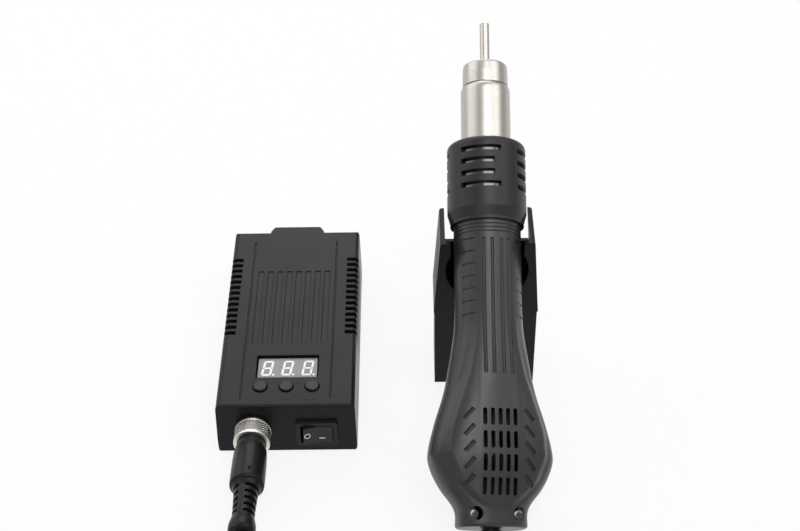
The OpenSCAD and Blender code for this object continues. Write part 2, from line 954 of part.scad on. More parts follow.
module rocker_frame() {
    color(shell_black)
        place_front(switch_x, switch_z)
            difference() {
                union() {
                    translate([0, -switch_rim_t, 0])
                        upright(switch_rim_t) polygon(box_outline(switch_w, switch_h, 1.4));
                    translate([-switch_body_w / 2, -0.5, -switch_body_h / 2])
                        cube([switch_body_w, switch_depth + 0.5, switch_body_h]);
                    for (x = [-5, 5]) {
                        translate([x - 2.4, switch_depth - 0.5, -0.4]) cube([4.8, 6.5, 0.8]);
                    }
                }
                translate([-switch_hole_w / 2, -switch_rim_t - 1, -switch_hole_h / 2])
                    cube([switch_hole_w, switch_rim_t + 10, switch_hole_h]);
                translate([0, pivot_depth, 0])
                    cylinder(
                        d = pivot_pin_d + 2 * slip, h = rocker_h + 2 * pivot_pin_len + 0.2,
                        $fn = 32, center = true
                    );
            }
}

// The rocker: two faces that meet over the pivot; its right end is pushed in
module rocker_paddle() {
    half = rocker_len / 2;
    tip = -rocker_face - half * tan(rocker_slope);
    color([0.07, 0.07, 0.07])
        place_front(switch_x, switch_z)
            translate([0, pivot_depth, 0])
                rotate([0, 0, rocker_slope])
                    translate([0, -pivot_depth, 0]) {
                        translate([0, 0, -rocker_h / 2])
                            linear_extrude(rocker_h)
                                polygon([
                                    [-half, tip], [0, -rocker_face], [half, tip], [half - 0.2, 1.5],
                                    [half - 1.4, 4], [3, 6], [-3, 6], [-half + 1.4, 4], [-half + 0.2, 1.5]
                                ]);
                        translate([0, pivot_depth, 0])
                            cylinder(
                                d = pivot_pin_d, h = rocker_h + 2 * pivot_pin_len, $fn = 32, center = true
                            );
                    }
}

// Mains inlet

module pin_places(gap) {
    for (i = [-1:1]) {
        translate([i * pin_x - pin_w / 2 - gap, 0, (i == 0 ? -0.5 : -4.5) - gap]) children();
    }
}

module mains_inlet() {
    cut = 4.5;
    color(shell_black)
        place_inlet()
            difference() {
                union() {
                    translate([0, slip, 0])
                        upright(inlet_rim_t) polygon(box_outline(inlet_rim_w, inlet_rim_h, 2));
                    translate([0, -inlet_depth - inlet_wall, 0])
                        upright(inlet_depth + inlet_wall + 1)
                            polygon(box_outline(inlet_body_w, inlet_body_h, 1));
                }
                translate([0, -inlet_depth, 0])
                    upright(inlet_depth + 5)
                        polygon([
                            [-inlet_w / 2, -inlet_h / 2], [inlet_w / 2, -inlet_h / 2],
                            [inlet_w / 2, inlet_h / 2 - cut], [inlet_w / 2 - cut, inlet_h / 2],
                            [-inlet_w / 2 + cut, inlet_h / 2], [-inlet_w / 2, inlet_h / 2 - cut]
                        ]);
                pin_places(hair)
                    translate([0, -inlet_depth - inlet_wall - 1, 0])
                        cube([pin_w + 2 * hair, inlet_wall + 2, pin_h + 2 * hair]);
            }
}

module inlet_pins() {
    color(brass_yellow)
        place_inlet()
            pin_places(0)
                translate([0, -inlet_depth - inlet_wall - pin_tail, 0])
                    cube([pin_w, pin_tail + inlet_wall + inlet_depth - 2.5, pin_h]);
}

// Socket and plug

module panel_socket() {
    barrel_in = case_wall + socket_nut_t + 1.2;
    color([0.3, 0.3, 0.3])
        place_plug()
            turned([
                [0, -barrel_in - 6], [insulator_d / 2, -barrel_in - 6], [insulator_d / 2, -barrel_in],
                [socket_d / 2, -barrel_in], [socket_d / 2, 0], [flange_d / 2, 0],
                [flange_d / 2, flange_t - 0.3], [flange_d / 2 - 0.3, flange_t], [socket_d / 2, flange_t],
                [socket_d / 2, barrel_out - 0.4], [socket_d / 2 - 0.4, barrel_out], [5.8, barrel_out],
                [5.8, barrel_out - 4.5], [0, barrel_out - 4.5]
            ]);
}

module socket_nut() {
    across = ring_d + 0.4;
    color(zinc)
        place_plug()
            translate([0, -case_wall - slip, 0])
                rotate([90, 0, 0])
                    difference() {
                        cylinder(d = across / cos(30), h = socket_nut_t, $fn = 6);
                        translate([0, 0, -1]) cylinder(d = socket_d + 2 * slip, h = socket_nut_t + 2);
                    }
}

module coupling_ring() {
    r = ring_d / 2;
    band = 1.5;
    tooth = 0.35;
    color([0.78, 0.77, 0.75])
        place_plug()
            translate([0, ring_start, 0])
                rotate([-90, 0, 0])
                    difference() {
                        union() {
                            cylinder(r = r, h = band);
                            translate([0, 0, band - 0.1])
                                linear_extrude(ring_len - 2 * band + 0.2)
                                    polygon([
                                        for (i = [0:2 * ring_teeth - 1])
                                            let (a = 180 * i / ring_teeth, q = r - 0.1 - (i % 2) * tooth)
                                            q * [cos(a), sin(a)]
                                    ]);
                            translate([0, 0, ring_len - band]) cylinder(r = r, h = band);
                        }
                        translate([0, 0, -1]) cylinder(d = ring_bore, h = ring_len + 2);
                    }
}

module plug_body() {
    r = plug_d / 2;
    color(rubber_black)
        place_plug()
            turned(concat(
                [[0, barrel_out + seat], [socket_d / 2, barrel_out + seat], [socket_d / 2, plug_start]],
                corner([0, plug_start], [r, plug_start], [r, plug_end], 0.6, 3),
                corner([r, plug_start], [r, plug_end], [0, plug_end], 1.2, 4),
                [[0, plug_end]]
            ));
}

// The bend sleeve: a taper with rings of slots, and a swelling where the cord leaves it
module plug_sleeve() {
    start = plug_end + hair;
    first_slot = plug_end + 2.3;
    pitch = 4.08;
    slot = 1.7;
    web = 28;
    web_at = -14;
    core = cord_r + 0.5;
    color(rubber_black)
        place_plug()
            difference() {
                turned([
                    [0, start], [7.4, start], [6.1, start + 2.2], [5.95, start + 4], [5.4, start + 17],
                    [5.5, start + 20.4], [6.5, start + 25.2], [6.5, start + 26.6], [5.4, sleeve_tip],
                    [0, sleeve_tip]
                ]);
                for (i = [0:sleeve_rings - 1]) {
                    near = first_slot + i * pitch;
                    for (side = [0, 180]) {
                        turned_part(
                            [[core, near], [9, near], [9, near + slot], [core, near + slot]],
                            side + web_at + web / 2,
                            side + web_at + 180 - web / 2
                        );
                    }
                }
            }
}

module cord_to_coil() {
    color(rubber_black) swept_tube(route_to_coil, cord_r);
}

module cord_coil() {
    color(rubber_black)
        translate([coil_x, coil_y, 0])
            rotate_extrude()
                polygon([[coil_in, 0.1], [coil_out, 0.1], [coil_out, coil_h], [coil_in, coil_h]]);
}

module cord_to_gun() {
    color(rubber_black) swept_tube(route_to_gun, cord_r);
}

// Gun

function key_slope(i, c) =
    let (
        last = len(handle_keys) - 1,
        a = handle_keys[max(i - 1, 0)],
        b = handle_keys[min(i + 1, last)]
    )
    (b[c] - a[c]) / (b[0] - a[0]);

function key_before(s) = max([for (i = [0:len(handle_keys) - 2]) if (s >= handle_keys[i][0] || i == 0) i]);

// A smooth curve through the key values
function handle_size(s, c) =
    let (
        i = key_before(s),
        a = handle_keys[i],
        b = handle_keys[i + 1],
        h = b[0] - a[0],
        t = (s - a[0]) / h,
        m0 = key_slope(i, c) * h,
        m1 = key_slope(i + 1, c) * h
    )
    (2 * pow(t, 3) - 3 * pow(t, 2) + 1) * a[c] + (pow(t, 3) - 2 * pow(t, 2) + t) * m0
        + (3 * pow(t, 2) - 2 * pow(t, 3)) * b[c] + (pow(t, 3) - pow(t, 2)) * m1;

// A point of the handle's section
function handle_point(s, angle, inset) =
    let (p = 2 / handle_size(s, 3))
    [
        (handle_size(s, 1) - inset) * sign_power(cos(angle), p),
        (handle_size(s, 2) - inset) * sign_power(sin(angle), p)
    ];

// Height of the handle's face over a place on its middle plane
function handle_top(x, s) =
    let (p = handle_size(s, 3))
    handle_size(s, 2) * pow(max(1 - pow(abs(x) / handle_size(s, 1), p), 0), 1 / p);

// One half of the handle, still solid; side is 1 for the face with the flutes and -1 for the back
module handle_block(side) {
    skin([
        for (s = outer_stations)
            [
                for (k = [0:arc_steps])
                    let (
                        angle = 180 * (side > 0 ? k : arc_steps - k) / arc_steps,
                        p = handle_point(s, angle, 0)
                    )
                    [p.x, s, side * max(abs(p.y), hair)]
            ]
    ]);
}

module handle_hollow() {
    skin([
        for (s = inner_stations)
            [
                for (k = [0:2 * arc_steps - 1])
                    let (p = handle_point(s, 180 * (k + 0.5) / arc_steps, handle_wall))
                    [p.x, s, p.y]
            ]
    ]);
}

// The round spigot that the collar screws on to, half of it in each half of the handle
module handle_spigot(side) {
    bore = grip_r - handle_wall + 0.3;
    turned_part(
        [[bore, handle_len - 5], [spigot_r, handle_len - 5], [spigot_r, spigot_end], [bore, spigot_end]],
        (side > 0 ? -90 : 90) + 0.1,
        (side > 0 ? 90 : 270) - 0.1
    );
}

module tail_channel() {
    rotate([-90, 0, 0]) translate([0, 0, -1]) cylinder(d = cord_hole_d, h = tail_block + 3);
}

module grille() {
    first = 54.8 - grille_len / 2;
    for (row = [0:grille_rows - 1]) {
        for (i = [0:grille_cols - 1]) {
            translate([(i - (grille_cols - 1) / 2) * grille_pitch, first - row * grille_row_pitch, 0])
                linear_extrude(30)
                    polygon(box_outline(grille_slot, grille_len, grille_slot * 0.49));
        }
    }
}

module flutes() {
    for (x = [-6.4, -2.4, 2.4, 6.4]) {
        start_z = handle_top(x, flute_start) - flute_depth;
        mid_z = handle_top(x, grip_at) - flute_depth;
        end_z = handle_top(x, flute_end) - flute_depth;
        translate([x, 0, 0])
            sideways(flute_w)
                polygon([
                    [flute_start, start_z + 1.2], [flute_start + 2, start_z], [grip_at, mid_z],
                    [flute_end - 2, end_z], [flute_end, end_z + 1.2], [flute_end, 24], [flute_start, 24]
                ]);
    }
}

module ridges() {
    from = 38;
    to = 63;
    depth = 0.6;
    width = 1.3;
    for (i = [0:ridge_count - 1]) {
        s = flute_end - 0.6 - i * ridge_pitch;
        for (side = [-1, 1]) {
            turned_part(
                [
                    [grip_r - depth, s - width / 2], [grip_r + 3, s - width / 2],
                    [grip_r + 3, s + width / 2], [grip_r - depth, s + width / 2]
                ],
                side > 0 ? from : -to,
                side > 0 ? to : -from
            );
        }
    }
}

module slant_grooves() {
    pitch = 8.1;
    for (i = [0:slant_count - 1]) {
        inner_s = 55 - i * pitch;
        outer_s = 49.5 - i * pitch;
        for (side = [-1, 1]) {
            rod(
                [side * 12, inner_s, handle_top(12, inner_s) + 0.2],
                [side * 17.3, outer_s, handle_top(17.3, outer_s) + 0.2],
                1.8
            );
        }
    }
}

module screw_sinks(side) {
    for (x = [-sink_spacing / 2, sink_spacing / 2]) {
        translate([x, 6, 0]) {
            if (side > 0) {
                translate([0, 0, 8.4]) cylinder(d = sink_d, h = 12, $fn = 40);
                translate([0, 0, -1]) cylinder(d = screw_d + 0.6, h = 12, $fn = 24);
            } else {
                translate([0, 0, -6.5]) cylinder(d = screw_d + 2 * hair, h = 8, $fn = 24);
            }
        }
    }
}

module handle_upper() {
    color(shell_black)
        place_gun()
            difference() {
                union() {
                    difference() {
                        handle_block(1);
                        handle_hollow();
                    }
                    handle_spigot(1);
                }
                tail_channel();
                grille();
                flutes();
                ridges();
                slant_grooves();
                screw_sinks(1);
            }
}

module handle_lower() {
    post_h = bulb_d / 2 - 1;
    color(shell_black)
        place_gun()
            difference() {
                union() {
                    // The hollow leaves four posts that carry the blower
                    difference() {
                        handle_block(-1);
                        difference() {
                            handle_hollow();
                            for (x = [-13, 13]) {
                                for (s = [fan_at - 9, fan_at + 9]) {
                                    translate([x, s, -post_h])
                                        cylinder(d = 4, h = post_h + housing_low - 0.1, $fn = 24);
                                }
                            }
                        }
                    }
                    handle_spigot(-1);
                }
                tail_channel();
                screw_sinks(-1);
            }
}

module handle_screws() {
    color(zinc)
        place_gun()
            for (x = [-sink_spacing / 2, sink_spacing / 2]) {
                translate([x, 6, 8.4]) {
                    cylinder(d = 4.8, h = 1.5, $fn = 32);
                    translate([0, 0, -14.6]) cylinder(d = screw_d, h = 15, $fn = 24);
                }
            }
}

// The bend sleeve at the gun's tail: ribs on a core that curves down to the table
module gun_sleeve() {
    arc = gun_pitch;
    ribs = 6;
    color(rubber_black)
        place_gun_straight() {
            rotate([90, 0, 0])
                translate([0, 0, -sleeve_root]) cylinder(d = cord_hole_d - 0.2, h = sleeve_root);
            translate([0, 0, sleeve_bend])
                rotate([0, 90, 0])
                    rotate([0, 0, -arc]) {
                        rotate_extrude(angle = arc)
                            translate([sleeve_bend, 0]) circle(r = cord_r + 0.7, $fn = 32);
                        for (i = [0:ribs - 1]) {
                            rotate([0, 0, i * (arc - 4) / (ribs - 1)])
                                rotate_extrude(angle = 2.6)
                                    translate([sleeve_bend, 0])
                                        circle(r = mix(4.7, 5.4, i / (ribs - 1)), $fn = 32);
                        }
                    }
        }
}

module vent_collar() {
    bore = collar_r - collar_wall;
    mouth_r = tube_r + 0.15;
    top_t = 2;
    first_slot = collar_top - 5.3;
    slots_from = -41.7;
    color(shell_black)
        place_gun_straight()
            difference() {
                turned(concat(
                    [
                        [spigot_r + slip, handle_len + hair], [collar_rim_r, handle_len + hair],
                        [collar_rim_r, handle_len + 1.5], [collar_r, handle_len + 6.4]
                    ],
                    corner([collar_r, handle_len], [collar_r, collar_top], [0, collar_top], 3, 6),
                    [
                        [mouth_r, collar_top], [mouth_r, collar_top - top_t],
                        [bore - 1.5, collar_top - top_t], [bore, collar_top - top_t - 1.5],
                        [bore, spigot_end], [spigot_r + slip, spigot_end]
                    ]
                ));
                for (group = [0:slot_groups - 1]) {
                    for (row = [0:slot_rows - 1]) {
                        high = first_slot - row * slot_pitch;
                        from = slots_from + group * 360 / slot_groups;
                        turned_part(
                            [
                                [bore - 1, high - slot_h], [collar_r + 1, high - slot_h],
                                [collar_r + 1, high], [bore - 1, high]
                            ],
                            from,
                            from + (row == 0 || row == slot_rows - 1 ? slot_angle : slot_angle_short)
                        );
                    }
                }
            }
}

// Bright sleeve behind the collar's slots
module heat_shield() {
    r = collar_r - collar_wall - seat;
    low = spigot_end + tube_flange_t + 2 * slip;
    high = collar_top - 3.9;
    color(steel)
        place_gun_straight() turned([[r - 0.5, low], [r, low], [r, high], [r - 0.5, high]]);
}

module heater_tube() {
    low = spigot_end + slip;
    inner = tube_r - tube_wall;
    step = tube_r - neck_r - 0.2;
    color(steel)
        place_gun_straight()
            turned(concat(
                [[tube_flange_r, low], [tube_flange_r, low + tube_flange_t], [tube_r, low + tube_flange_t]],
                [
                    for (a = [0:15:90])
                        [tube_r - step * (1 - cos(a)), tube_top - tube_shoulder * (1 - sin(a))]
                ],
                [
                    [neck_r, tube_top], [neck_r, tube_top + neck_len],
                    [neck_r - tube_wall, tube_top + neck_len], [neck_r - tube_wall, tube_top - 1.2],
                    [inner, tube_top - tube_shoulder - 0.2], [inner, low]
                ]
            ));
}

module mica_sleeve() {
    r = tube_r - tube_wall - seat;
    low = spigot_end + 1;
    color(mica_pale)
        place_gun_straight()
            turned([[r - 0.4, low], [r, low], [r, tube_top - 6], [r - 0.4, tube_top - 6]]);
}

module heater_core() {
    r = tube_r - tube_wall - seat - 0.4 - seat;
    low = spigot_end + 1;
    holes = 6;
    color([0.85, 0.83, 0.78])
        place_gun_straight()
            translate([0, low, 0])
                rotate([-90, 0, 0])
                    difference() {
                        cylinder(r = r, h = tube_top - 8 - low);
                        for (i = [0:holes - 1]) {
                            rotate([0, 0, 360 * i / holes])
                                translate([r * 0.6, 0, -1])
                                    cylinder(d = 4, h = tube_top, $fn = 24);
                        }
                    }
}

module nozzle() {
    low = tube_top + seat;
    top = low + cap_len;
    lid = 0.8;
    r = cap_d / 2;
    bore = neck_r + slip;
    pipe_r = pipe_d / 2;
    tip = top + pipe_len;
    color(steel)
        place_gun_straight()
            turned(concat(
                [[bore, low], [r, low], [r, top - 5.5]],
                corner([r, top - 5.5], [r - 0.3, top], [0, top], 1.3, 4),
                [
                    [pipe_r + 0.5, top], [pipe_r, top + 0.5], [pipe_r, tip], [pipe_r - pipe_wall, tip],
                    [pipe_r - pipe_wall, top - lid], [bore, top - lid]
                ]
            ));
}

// Blower

module blower_housing() {
    r = housing_d / 2;
    high = housing_low + housing_h;
    snout_w = 20;
    snout_h = 12;
    snout_len = 20;
    color([0.15, 0.15, 0.15])
        place_fan()
            difference() {
                union() {
                    translate([0, 0, housing_low]) cylinder(r = r, h = housing_h);
                    translate([-snout_w / 2, 0, -snout_h / 2]) cube([snout_w, r + snout_len, snout_h]);
                }
                translate([0, 0, housing_low + housing_wall])
                    cylinder(r = r - housing_wall, h = housing_h - 2 * housing_wall);
                translate([0, 0, high - 5]) cylinder(d = fan_d - 8, h = 10);
                translate([0, 0, housing_low - 1]) cylinder(d = shaft_d + 2, h = 5, $fn = 32);
                translate([-snout_w / 2 + housing_wall, 0, -snout_h / 2 + housing_wall])
                    cube([snout_w - 2 * housing_wall, r + snout_len + 1, snout_h - 2 * housing_wall]);
            }
}

module fan_wheel() {
    r = fan_d / 2;
    low = housing_low + housing_wall + 1.6;
    color([0.2, 0.2, 0.2])
        place_fan()
            translate([0, 0, low])
                difference() {
                    union() {
                        cylinder(r = r, h = 1);
                        cylinder(d = 8, h = fan_h - 2, $fn = 40);
                        for (i = [0:blade_count - 1]) {
                            rotate([0, 0, 360 * i / blade_count])
                                translate([0, 0, 0.5])
                                    linear_extrude(fan_h - 1)
                                        polygon([
                                            [r - 5.4, 0.2], [r - 2.6, -0.9], [r - 0.2, -1.3],
                                            [r - 0.2, -0.5], [r - 2.6, -0.1], [r - 5.4, 0.9]
                                        ]);
                        }
                        difference() {
                            translate([0, 0, fan_h - 1]) cylinder(r = r, h = 1);
                            translate([0, 0, fan_h - 2]) cylinder(r = r - 4, h = 3);
                        }
                    }
                    translate([0, 0, -1]) cylinder(d = shaft_d + 2 * hair, h = fan_h + 2, $fn = 32);
                }
}

module blower_motor() {
    top = housing_low - slip;
    color([0.6, 0.6, 0.6])
        place_fan() {
            translate([0, 0, top - motor_h]) cylinder(d = motor_d, h = motor_h);
            translate([0, 0, top - 0.5]) cylinder(d = shaft_d, h = 13, $fn = 32);
        }
}

// Holder

function holder_half(z) =
    z <= holder_shoulder
        ? holder_w / 2
        : mix(
            holder_shoulder_w / 2, holder_top_w / 2, (z - holder_shoulder) / (holder_h - holder_shoulder)
        );

function holder_outline(inset, low, high, r) =
    let (a = holder_w / 2 - inset, b = holder_shoulder_w / 2 - inset, c = holder_half(high) - inset)
    rounded(
        [
            [-a, low], [a, low], [a, holder_shoulder - 0.6], [b, holder_shoulder],
            [c, high], [-c, high], [-b, holder_shoulder], [-a, holder_shoulder - 0.6]
        ],
        [0, 0, 0, 0, r, r, 0, 0], 4
    );

module post_places() {
    for (x = [-1, 1]) {
        for (z = [post_low, post_high]) {
            translate([x * (holder_w / 2 - holder_side - post_d / 2 + 0.6), 0, z])
                rotate([-90, 0, 0]) children();
        }
    }
}

module holder_body() {
    half = mouth_w / 2;
    lead = corner([half, 0], [half, holder_h], [half + 9, holder_h], lead_r, 5);
    color(shell_black)
        place_holder()
            difference() {
                union() {
                    difference() {
                        upright(holder_depth) polygon(holder_outline(0, 0, holder_h, 1.6));
                        translate([0, holder_front, 0])
                            upright(holder_depth)
                                polygon(holder_outline(holder_side, holder_floor, holder_h + 5, 0));
                    }
                    post_places()
                        translate([0, 0, holder_front - 1])
                            cylinder(d = post_d, h = plate_y - holder_front + 1 - slip, $fn = 40);
                }
                translate([0, -1, notch_z]) rotate([-90, 0, 0]) cylinder(d = notch_d, h = holder_front + 2);
                translate([0, -1, 0])
                    upright(holder_front + 2)
                        polygon(concat(
                            [[-half, notch_z], [half, notch_z]],
                            lead,
                            [[half + lead_r, holder_h + 1], [-half - lead_r, holder_h + 1]],
                            [for (i = [len(lead) - 1:-1:0]) [-lead[i].x, lead[i].y]]
                        ));
                post_places()
                    translate([0, 0, holder_front + 4])
                        cylinder(d = screw_d + 2 * hair, h = holder_depth, $fn = 24);
            }
}

module holder_back() {
    gap = 0.15;
    color(shell_black)
        difference() {
            place_holder()
                translate([0, plate_y, 0])
                    upright(plate_t)
                        polygon(holder_outline(holder_side + gap, holder_floor + gap, plate_top, 0));
            place_holder()
                post_places() {
                    cylinder(d = screw_d + 0.6, h = holder_depth + 1, $fn = 24);
                    translate([0, 0, plate_rear - 1]) cylinder(d = screw_head_d + 0.4, h = 5, $fn = 32);
                }
            // The shallow saddle for the gun's neck
            place_gun_straight()
                rotate([-90, 0, 0])
                    translate([0, 0, grip_at])
                        cylinder(r = grip_r + seat, h = handle_len - grip_at + 30, $fn = 96);
        }
}

module holder_screws() {
    color(zinc)
        place_holder()
            post_places() {
                translate([0, 0, plate_rear - 1]) cylinder(d = screw_head_d, h = screw_head_t, $fn = 32);
                translate([0, 0, plate_rear - 10]) cylinder(d = screw_d, h = 9.5, $fn = 24);
            }
}

case_top();
case_base();
rubber_feet();
case_screws();
display_board();
display_module();
button_left();
button_middle();
button_right();
tact_switches();
power_board();
transformer();
capacitors();
heat_sink();
triac();
fuse();
rocker_frame();
rocker_paddle();
mains_inlet();
inlet_pins();
panel_socket();
socket_nut();
coupling_ring();
plug_body();
plug_sleeve();
cord_to_coil();
cord_coil();
cord_to_gun();
gun_sleeve();
handle_upper();
handle_lower();
handle_screws();
vent_collar();
heat_shield();
heater_tube();
mica_sleeve();
heater_core();
nozzle();
blower_housing();
fan_wheel();
blower_motor();
holder_body();
holder_back();
holder_screws();
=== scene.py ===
import math

import bmesh
import bpy
from mathutils import Matrix, Vector


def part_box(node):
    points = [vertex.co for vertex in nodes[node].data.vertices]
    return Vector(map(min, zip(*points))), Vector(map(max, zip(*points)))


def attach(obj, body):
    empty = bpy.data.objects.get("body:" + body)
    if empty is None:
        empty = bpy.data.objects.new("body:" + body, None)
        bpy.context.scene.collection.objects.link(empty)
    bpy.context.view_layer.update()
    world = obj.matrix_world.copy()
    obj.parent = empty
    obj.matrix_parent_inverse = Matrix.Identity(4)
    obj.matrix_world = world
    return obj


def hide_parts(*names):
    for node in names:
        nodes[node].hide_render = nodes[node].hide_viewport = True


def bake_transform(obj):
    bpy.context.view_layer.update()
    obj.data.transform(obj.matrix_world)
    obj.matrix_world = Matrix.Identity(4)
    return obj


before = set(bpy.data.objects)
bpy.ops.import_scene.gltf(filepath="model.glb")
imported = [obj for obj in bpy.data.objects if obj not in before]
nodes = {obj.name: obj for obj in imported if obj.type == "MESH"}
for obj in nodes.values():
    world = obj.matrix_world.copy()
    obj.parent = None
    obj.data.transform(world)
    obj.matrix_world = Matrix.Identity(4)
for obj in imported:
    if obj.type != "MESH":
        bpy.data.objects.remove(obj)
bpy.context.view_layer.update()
bpy.ops.object.select_all(action="DESELECT")

# ---------------------------------------------------------------- Camera
# A camera held by hand in front of the station looks down on the light table. Its place, its lens and its
# small turns were solved from the straight edges of the box, so the picture has the photograph's frame.
camera_data = bpy.data.cameras.new("camera")
camera_data.sensor_width = 36
camera_data.lens = 68.48
camera_data.clip_start, camera_data.clip_end = 0.01, 20
camera = bpy.data.objects.new("camera", camera_data)
bpy.context.scene.collection.objects.link(camera)
bpy.context.scene.camera = camera
down, turn, tilt = math.radians(42.04), math.radians(-0.69), math.radians(-1.15)
look = Vector((math.sin(turn) * math.cos(down), math.cos(turn) * math.cos(down), -math.sin(down)))
right = look.cross(Vector((0, 0, 1))).normalized()
up = right.cross(look)
right, up = right * math.cos(tilt) + up * math.sin(tilt), up * math.cos(tilt) - right * math.sin(tilt)
camera.matrix_world = (Matrix.Translation((0.01720, -0.55456, 0.58571))
                       @ Matrix((right, up, -look)).transposed().to_4x4())

# ---------------------------------------------------------------- Cord
# A round black rubber cord, 7 mm thick and about a metre long. It leaves the plug's sleeve, sags to the
# table, is wound into a flat coil in front of the station, and its end climbs off the coil into the gun's
# own sleeve.


def grained(name, colour, roughness, grain=1800, depth=0.00004, drift=0.05, sheen=0.0, level=0.5,
            soft=0.0):
    """A moulded surface: a fine grain, and slow changes of gloss and colour over it."""
    made = bpy.data.materials.new(name)
    made.use_nodes = True
    tree = made.node_tree
    shader = tree.nodes["Principled BSDF"]
    shader.inputs["Sheen Weight"].default_value = sheen
    shader.inputs["Specular IOR Level"].default_value = level
    place = tree.nodes.new("ShaderNodeTexCoord")
    fine = tree.nodes.new("ShaderNodeTexNoise")
    fine.inputs["Scale"].default_value = grain
    fine.inputs["Detail"].default_value = 3
    slow = tree.nodes.new("ShaderNodeTexNoise")
    slow.inputs["Scale"].default_value = 38
    slow.inputs["Detail"].default_value = 4
    gloss = tree.nodes.new("ShaderNodeMapRange")
    gloss.inputs["From Min"].default_value, gloss.inputs["From Max"].default_value = 0.3, 0.7
    gloss.inputs["To Min"].default_value = roughness - drift
    gloss.inputs["To Max"].default_value = roughness + drift
    tone = tree.nodes.new("ShaderNodeValToRGB")
    tone.color_ramp.elements[0].position, tone.color_ramp.elements[1].position = 0.35, 0.65
    tone.color_ramp.elements[0].color = [c * 0.88 for c in colour] + [1]
    tone.color_ramp.elements[1].color = [min(c * 1.12, 1) for c in colour] + [1]
    bump = tree.nodes.new("ShaderNodeBump")
    bump.inputs["Strength"].default_value = 0.6
    bump.inputs["Distance"].default_value = depth
    for texture in (fine, slow):
        tree.links.new(place.outputs["Object"], texture.inputs["Vector"])
    tree.links.new(slow.outputs["Fac"], gloss.inputs["Value"])
    tree.links.new(gloss.outputs["Result"], shader.inputs["Roughness"])
    tree.links.new(slow.outputs["Fac"], tone.inputs["Fac"])
    tree.links.new(tone.outputs["Color"], shader.inputs["Base Color"])
    tree.links.new(fine.outputs["Fac"], bump.inputs["Height"])
    tree.links.new(bump.outputs["Normal"], shader.inputs["Normal"])
    if soft:
        edges = tree.nodes.new("ShaderNodeBevel")
        edges.samples = 6
        edges.inputs["Radius"].default_value = soft
        tree.links.new(edges.outputs["Normal"], bump.inputs["Normal"])
    return made


def finish_as(piece, material):
    piece.data.materials.clear()
    piece.data.materials.append(material)


cord_thick = 0.007
cord_rubber = grained("cord_rubber", (0.011, 0.011, 0.012), 0.38, grain=900, depth=0.00003, level=0.26)
cord_out = [
    (-64.1, -112.2, 22.5), (-64.1, -118, 23), (-64.1, -124, 22.7), (-64, -130, 21.2), (-63.7, -136, 18),
    (-63.1, -142, 13.8), (-62, -148, 9.4), (-60.4, -154, 6), (-58.3, -160, 4.2), (-56, -166, 3.7),
    (-53.6, -172, 3.55), (-51.4, -178, 3.55), (-49.2, -184, 3.55),
]
cord_in = [
    (41.1, -166, 10.3), (41.7, -160, 10.1), (43.2, -154, 9.5), (45.4, -148, 8.4), (47.8, -142.2, 7),
    (50.4, -136.6, 5.8), (51.7, -131.4, 5.3), (51.9, -126.8, 5.3),
]
coil_middle = (-2.0, -170.0)
coil_turns = [(210, 46.9, 3.55), (540, 46.9, 3.55), (600, 39.9, 3.55), (900, 39.9, 3.55), (960, 32.9, 3.55),
              (1250, 32.9, 3.55), (1330, 43.2, 10.5), (1446, 43.2, 10.5)]


def coil_point(angle):
    for (a, r1, z1), (b, r2, z2) in zip(coil_turns, coil_turns[1:]):
        if a <= angle <= b:
            t = (angle - a) / (b - a)
            t = t * t * (3 - 2 * t)
            r, z = r1 + (r2 - r1) * t, z1 + (z2 - z1) * t
            return (coil_middle[0] + r * math.cos(math.radians(angle)),
                    coil_middle[1] + r * math.sin(math.radians(angle)), z)


def wound(name, points):
    """A tube of the cord's thickness along its points, with its own mesh."""
    curve = bpy.data.curves.new(name, "CURVE")
    curve.dimensions = "3D"
    curve.bevel_depth = cord_thick / 2
    curve.bevel_resolution = 6
    curve.resolution_u = 5
    curve.use_fill_caps = True
    spline = curve.splines.new("BEZIER")
    spline.bezier_points.add(len(points) - 1)
    for knot, point in zip(spline.bezier_points, points):
        knot.co = Vector(point)
        knot.handle_left_type = knot.handle_right_type = "AUTO"
    made = bpy.data.objects.new(name, curve)
    bpy.context.scene.collection.objects.link(made)
    bpy.ops.object.select_all(action="DESELECT")
    made.select_set(True)
    bpy.context.view_layer.objects.active = made
    bpy.ops.object.convert(target="MESH")
    bpy.ops.object.shade_smooth_by_angle(angle=math.radians(50))
    return bpy.context.view_layer.objects.active


def metres(points):
    return [tuple(value / 1000 for value in point) for point in points]


rest_path = metres(cord_out + [coil_point(a) for a in range(216, 1381, 12)])
lift_path = metres([coil_point(a) for a in range(1380, 1441, 12)] + cord_in)
cord = wound("cord", rest_path)
finish_as(cord, cord_rubber)
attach(cord, "station")
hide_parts("cord_to_coil", "cord_coil")
cord_end = wound("cord_end", lift_path)
finish_as(cord_end, cord_rubber)
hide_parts("cord_to_gun")
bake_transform(cord_end)

# ---------------------------------------------------------------- Table and light
# A white table that runs out of sight, in a bright room with five soft boxes: one on each side, one behind
# the station, one over the camera, and one straight above, which the handle's face and the steel tube
# mirror.
bpy.ops.mesh.primitive_plane_add(size=14, location=(0, 1, 0))
table = bpy.context.object
table.name = "table"
paper = bpy.data.materials.new("white_table")
paper.use_nodes = True
tree = paper.node_tree
tree.nodes["Principled BSDF"].inputs["Base Color"].default_value = (0.86, 0.86, 0.86, 1)
tree.nodes["Principled BSDF"].inputs["Roughness"].default_value = 0.75
white = tree.nodes.new("ShaderNodeEmission")
white.inputs["Color"].default_value = (1, 1, 1, 1)
ray = tree.nodes.new("ShaderNodeLightPath")
seen, mirrored, share = (tree.nodes.new("ShaderNodeMath") for _ in range(3))
seen.operation = mirrored.operation = "MAXIMUM"
share.operation = "MULTIPLY"
share.inputs[1].default_value = 0.85
blend = tree.nodes.new("ShaderNodeMixShader")
tree.links.new(ray.outputs["Is Camera Ray"], seen.inputs[0])
tree.links.new(ray.outputs["Is Transmission Ray"], seen.inputs[1])
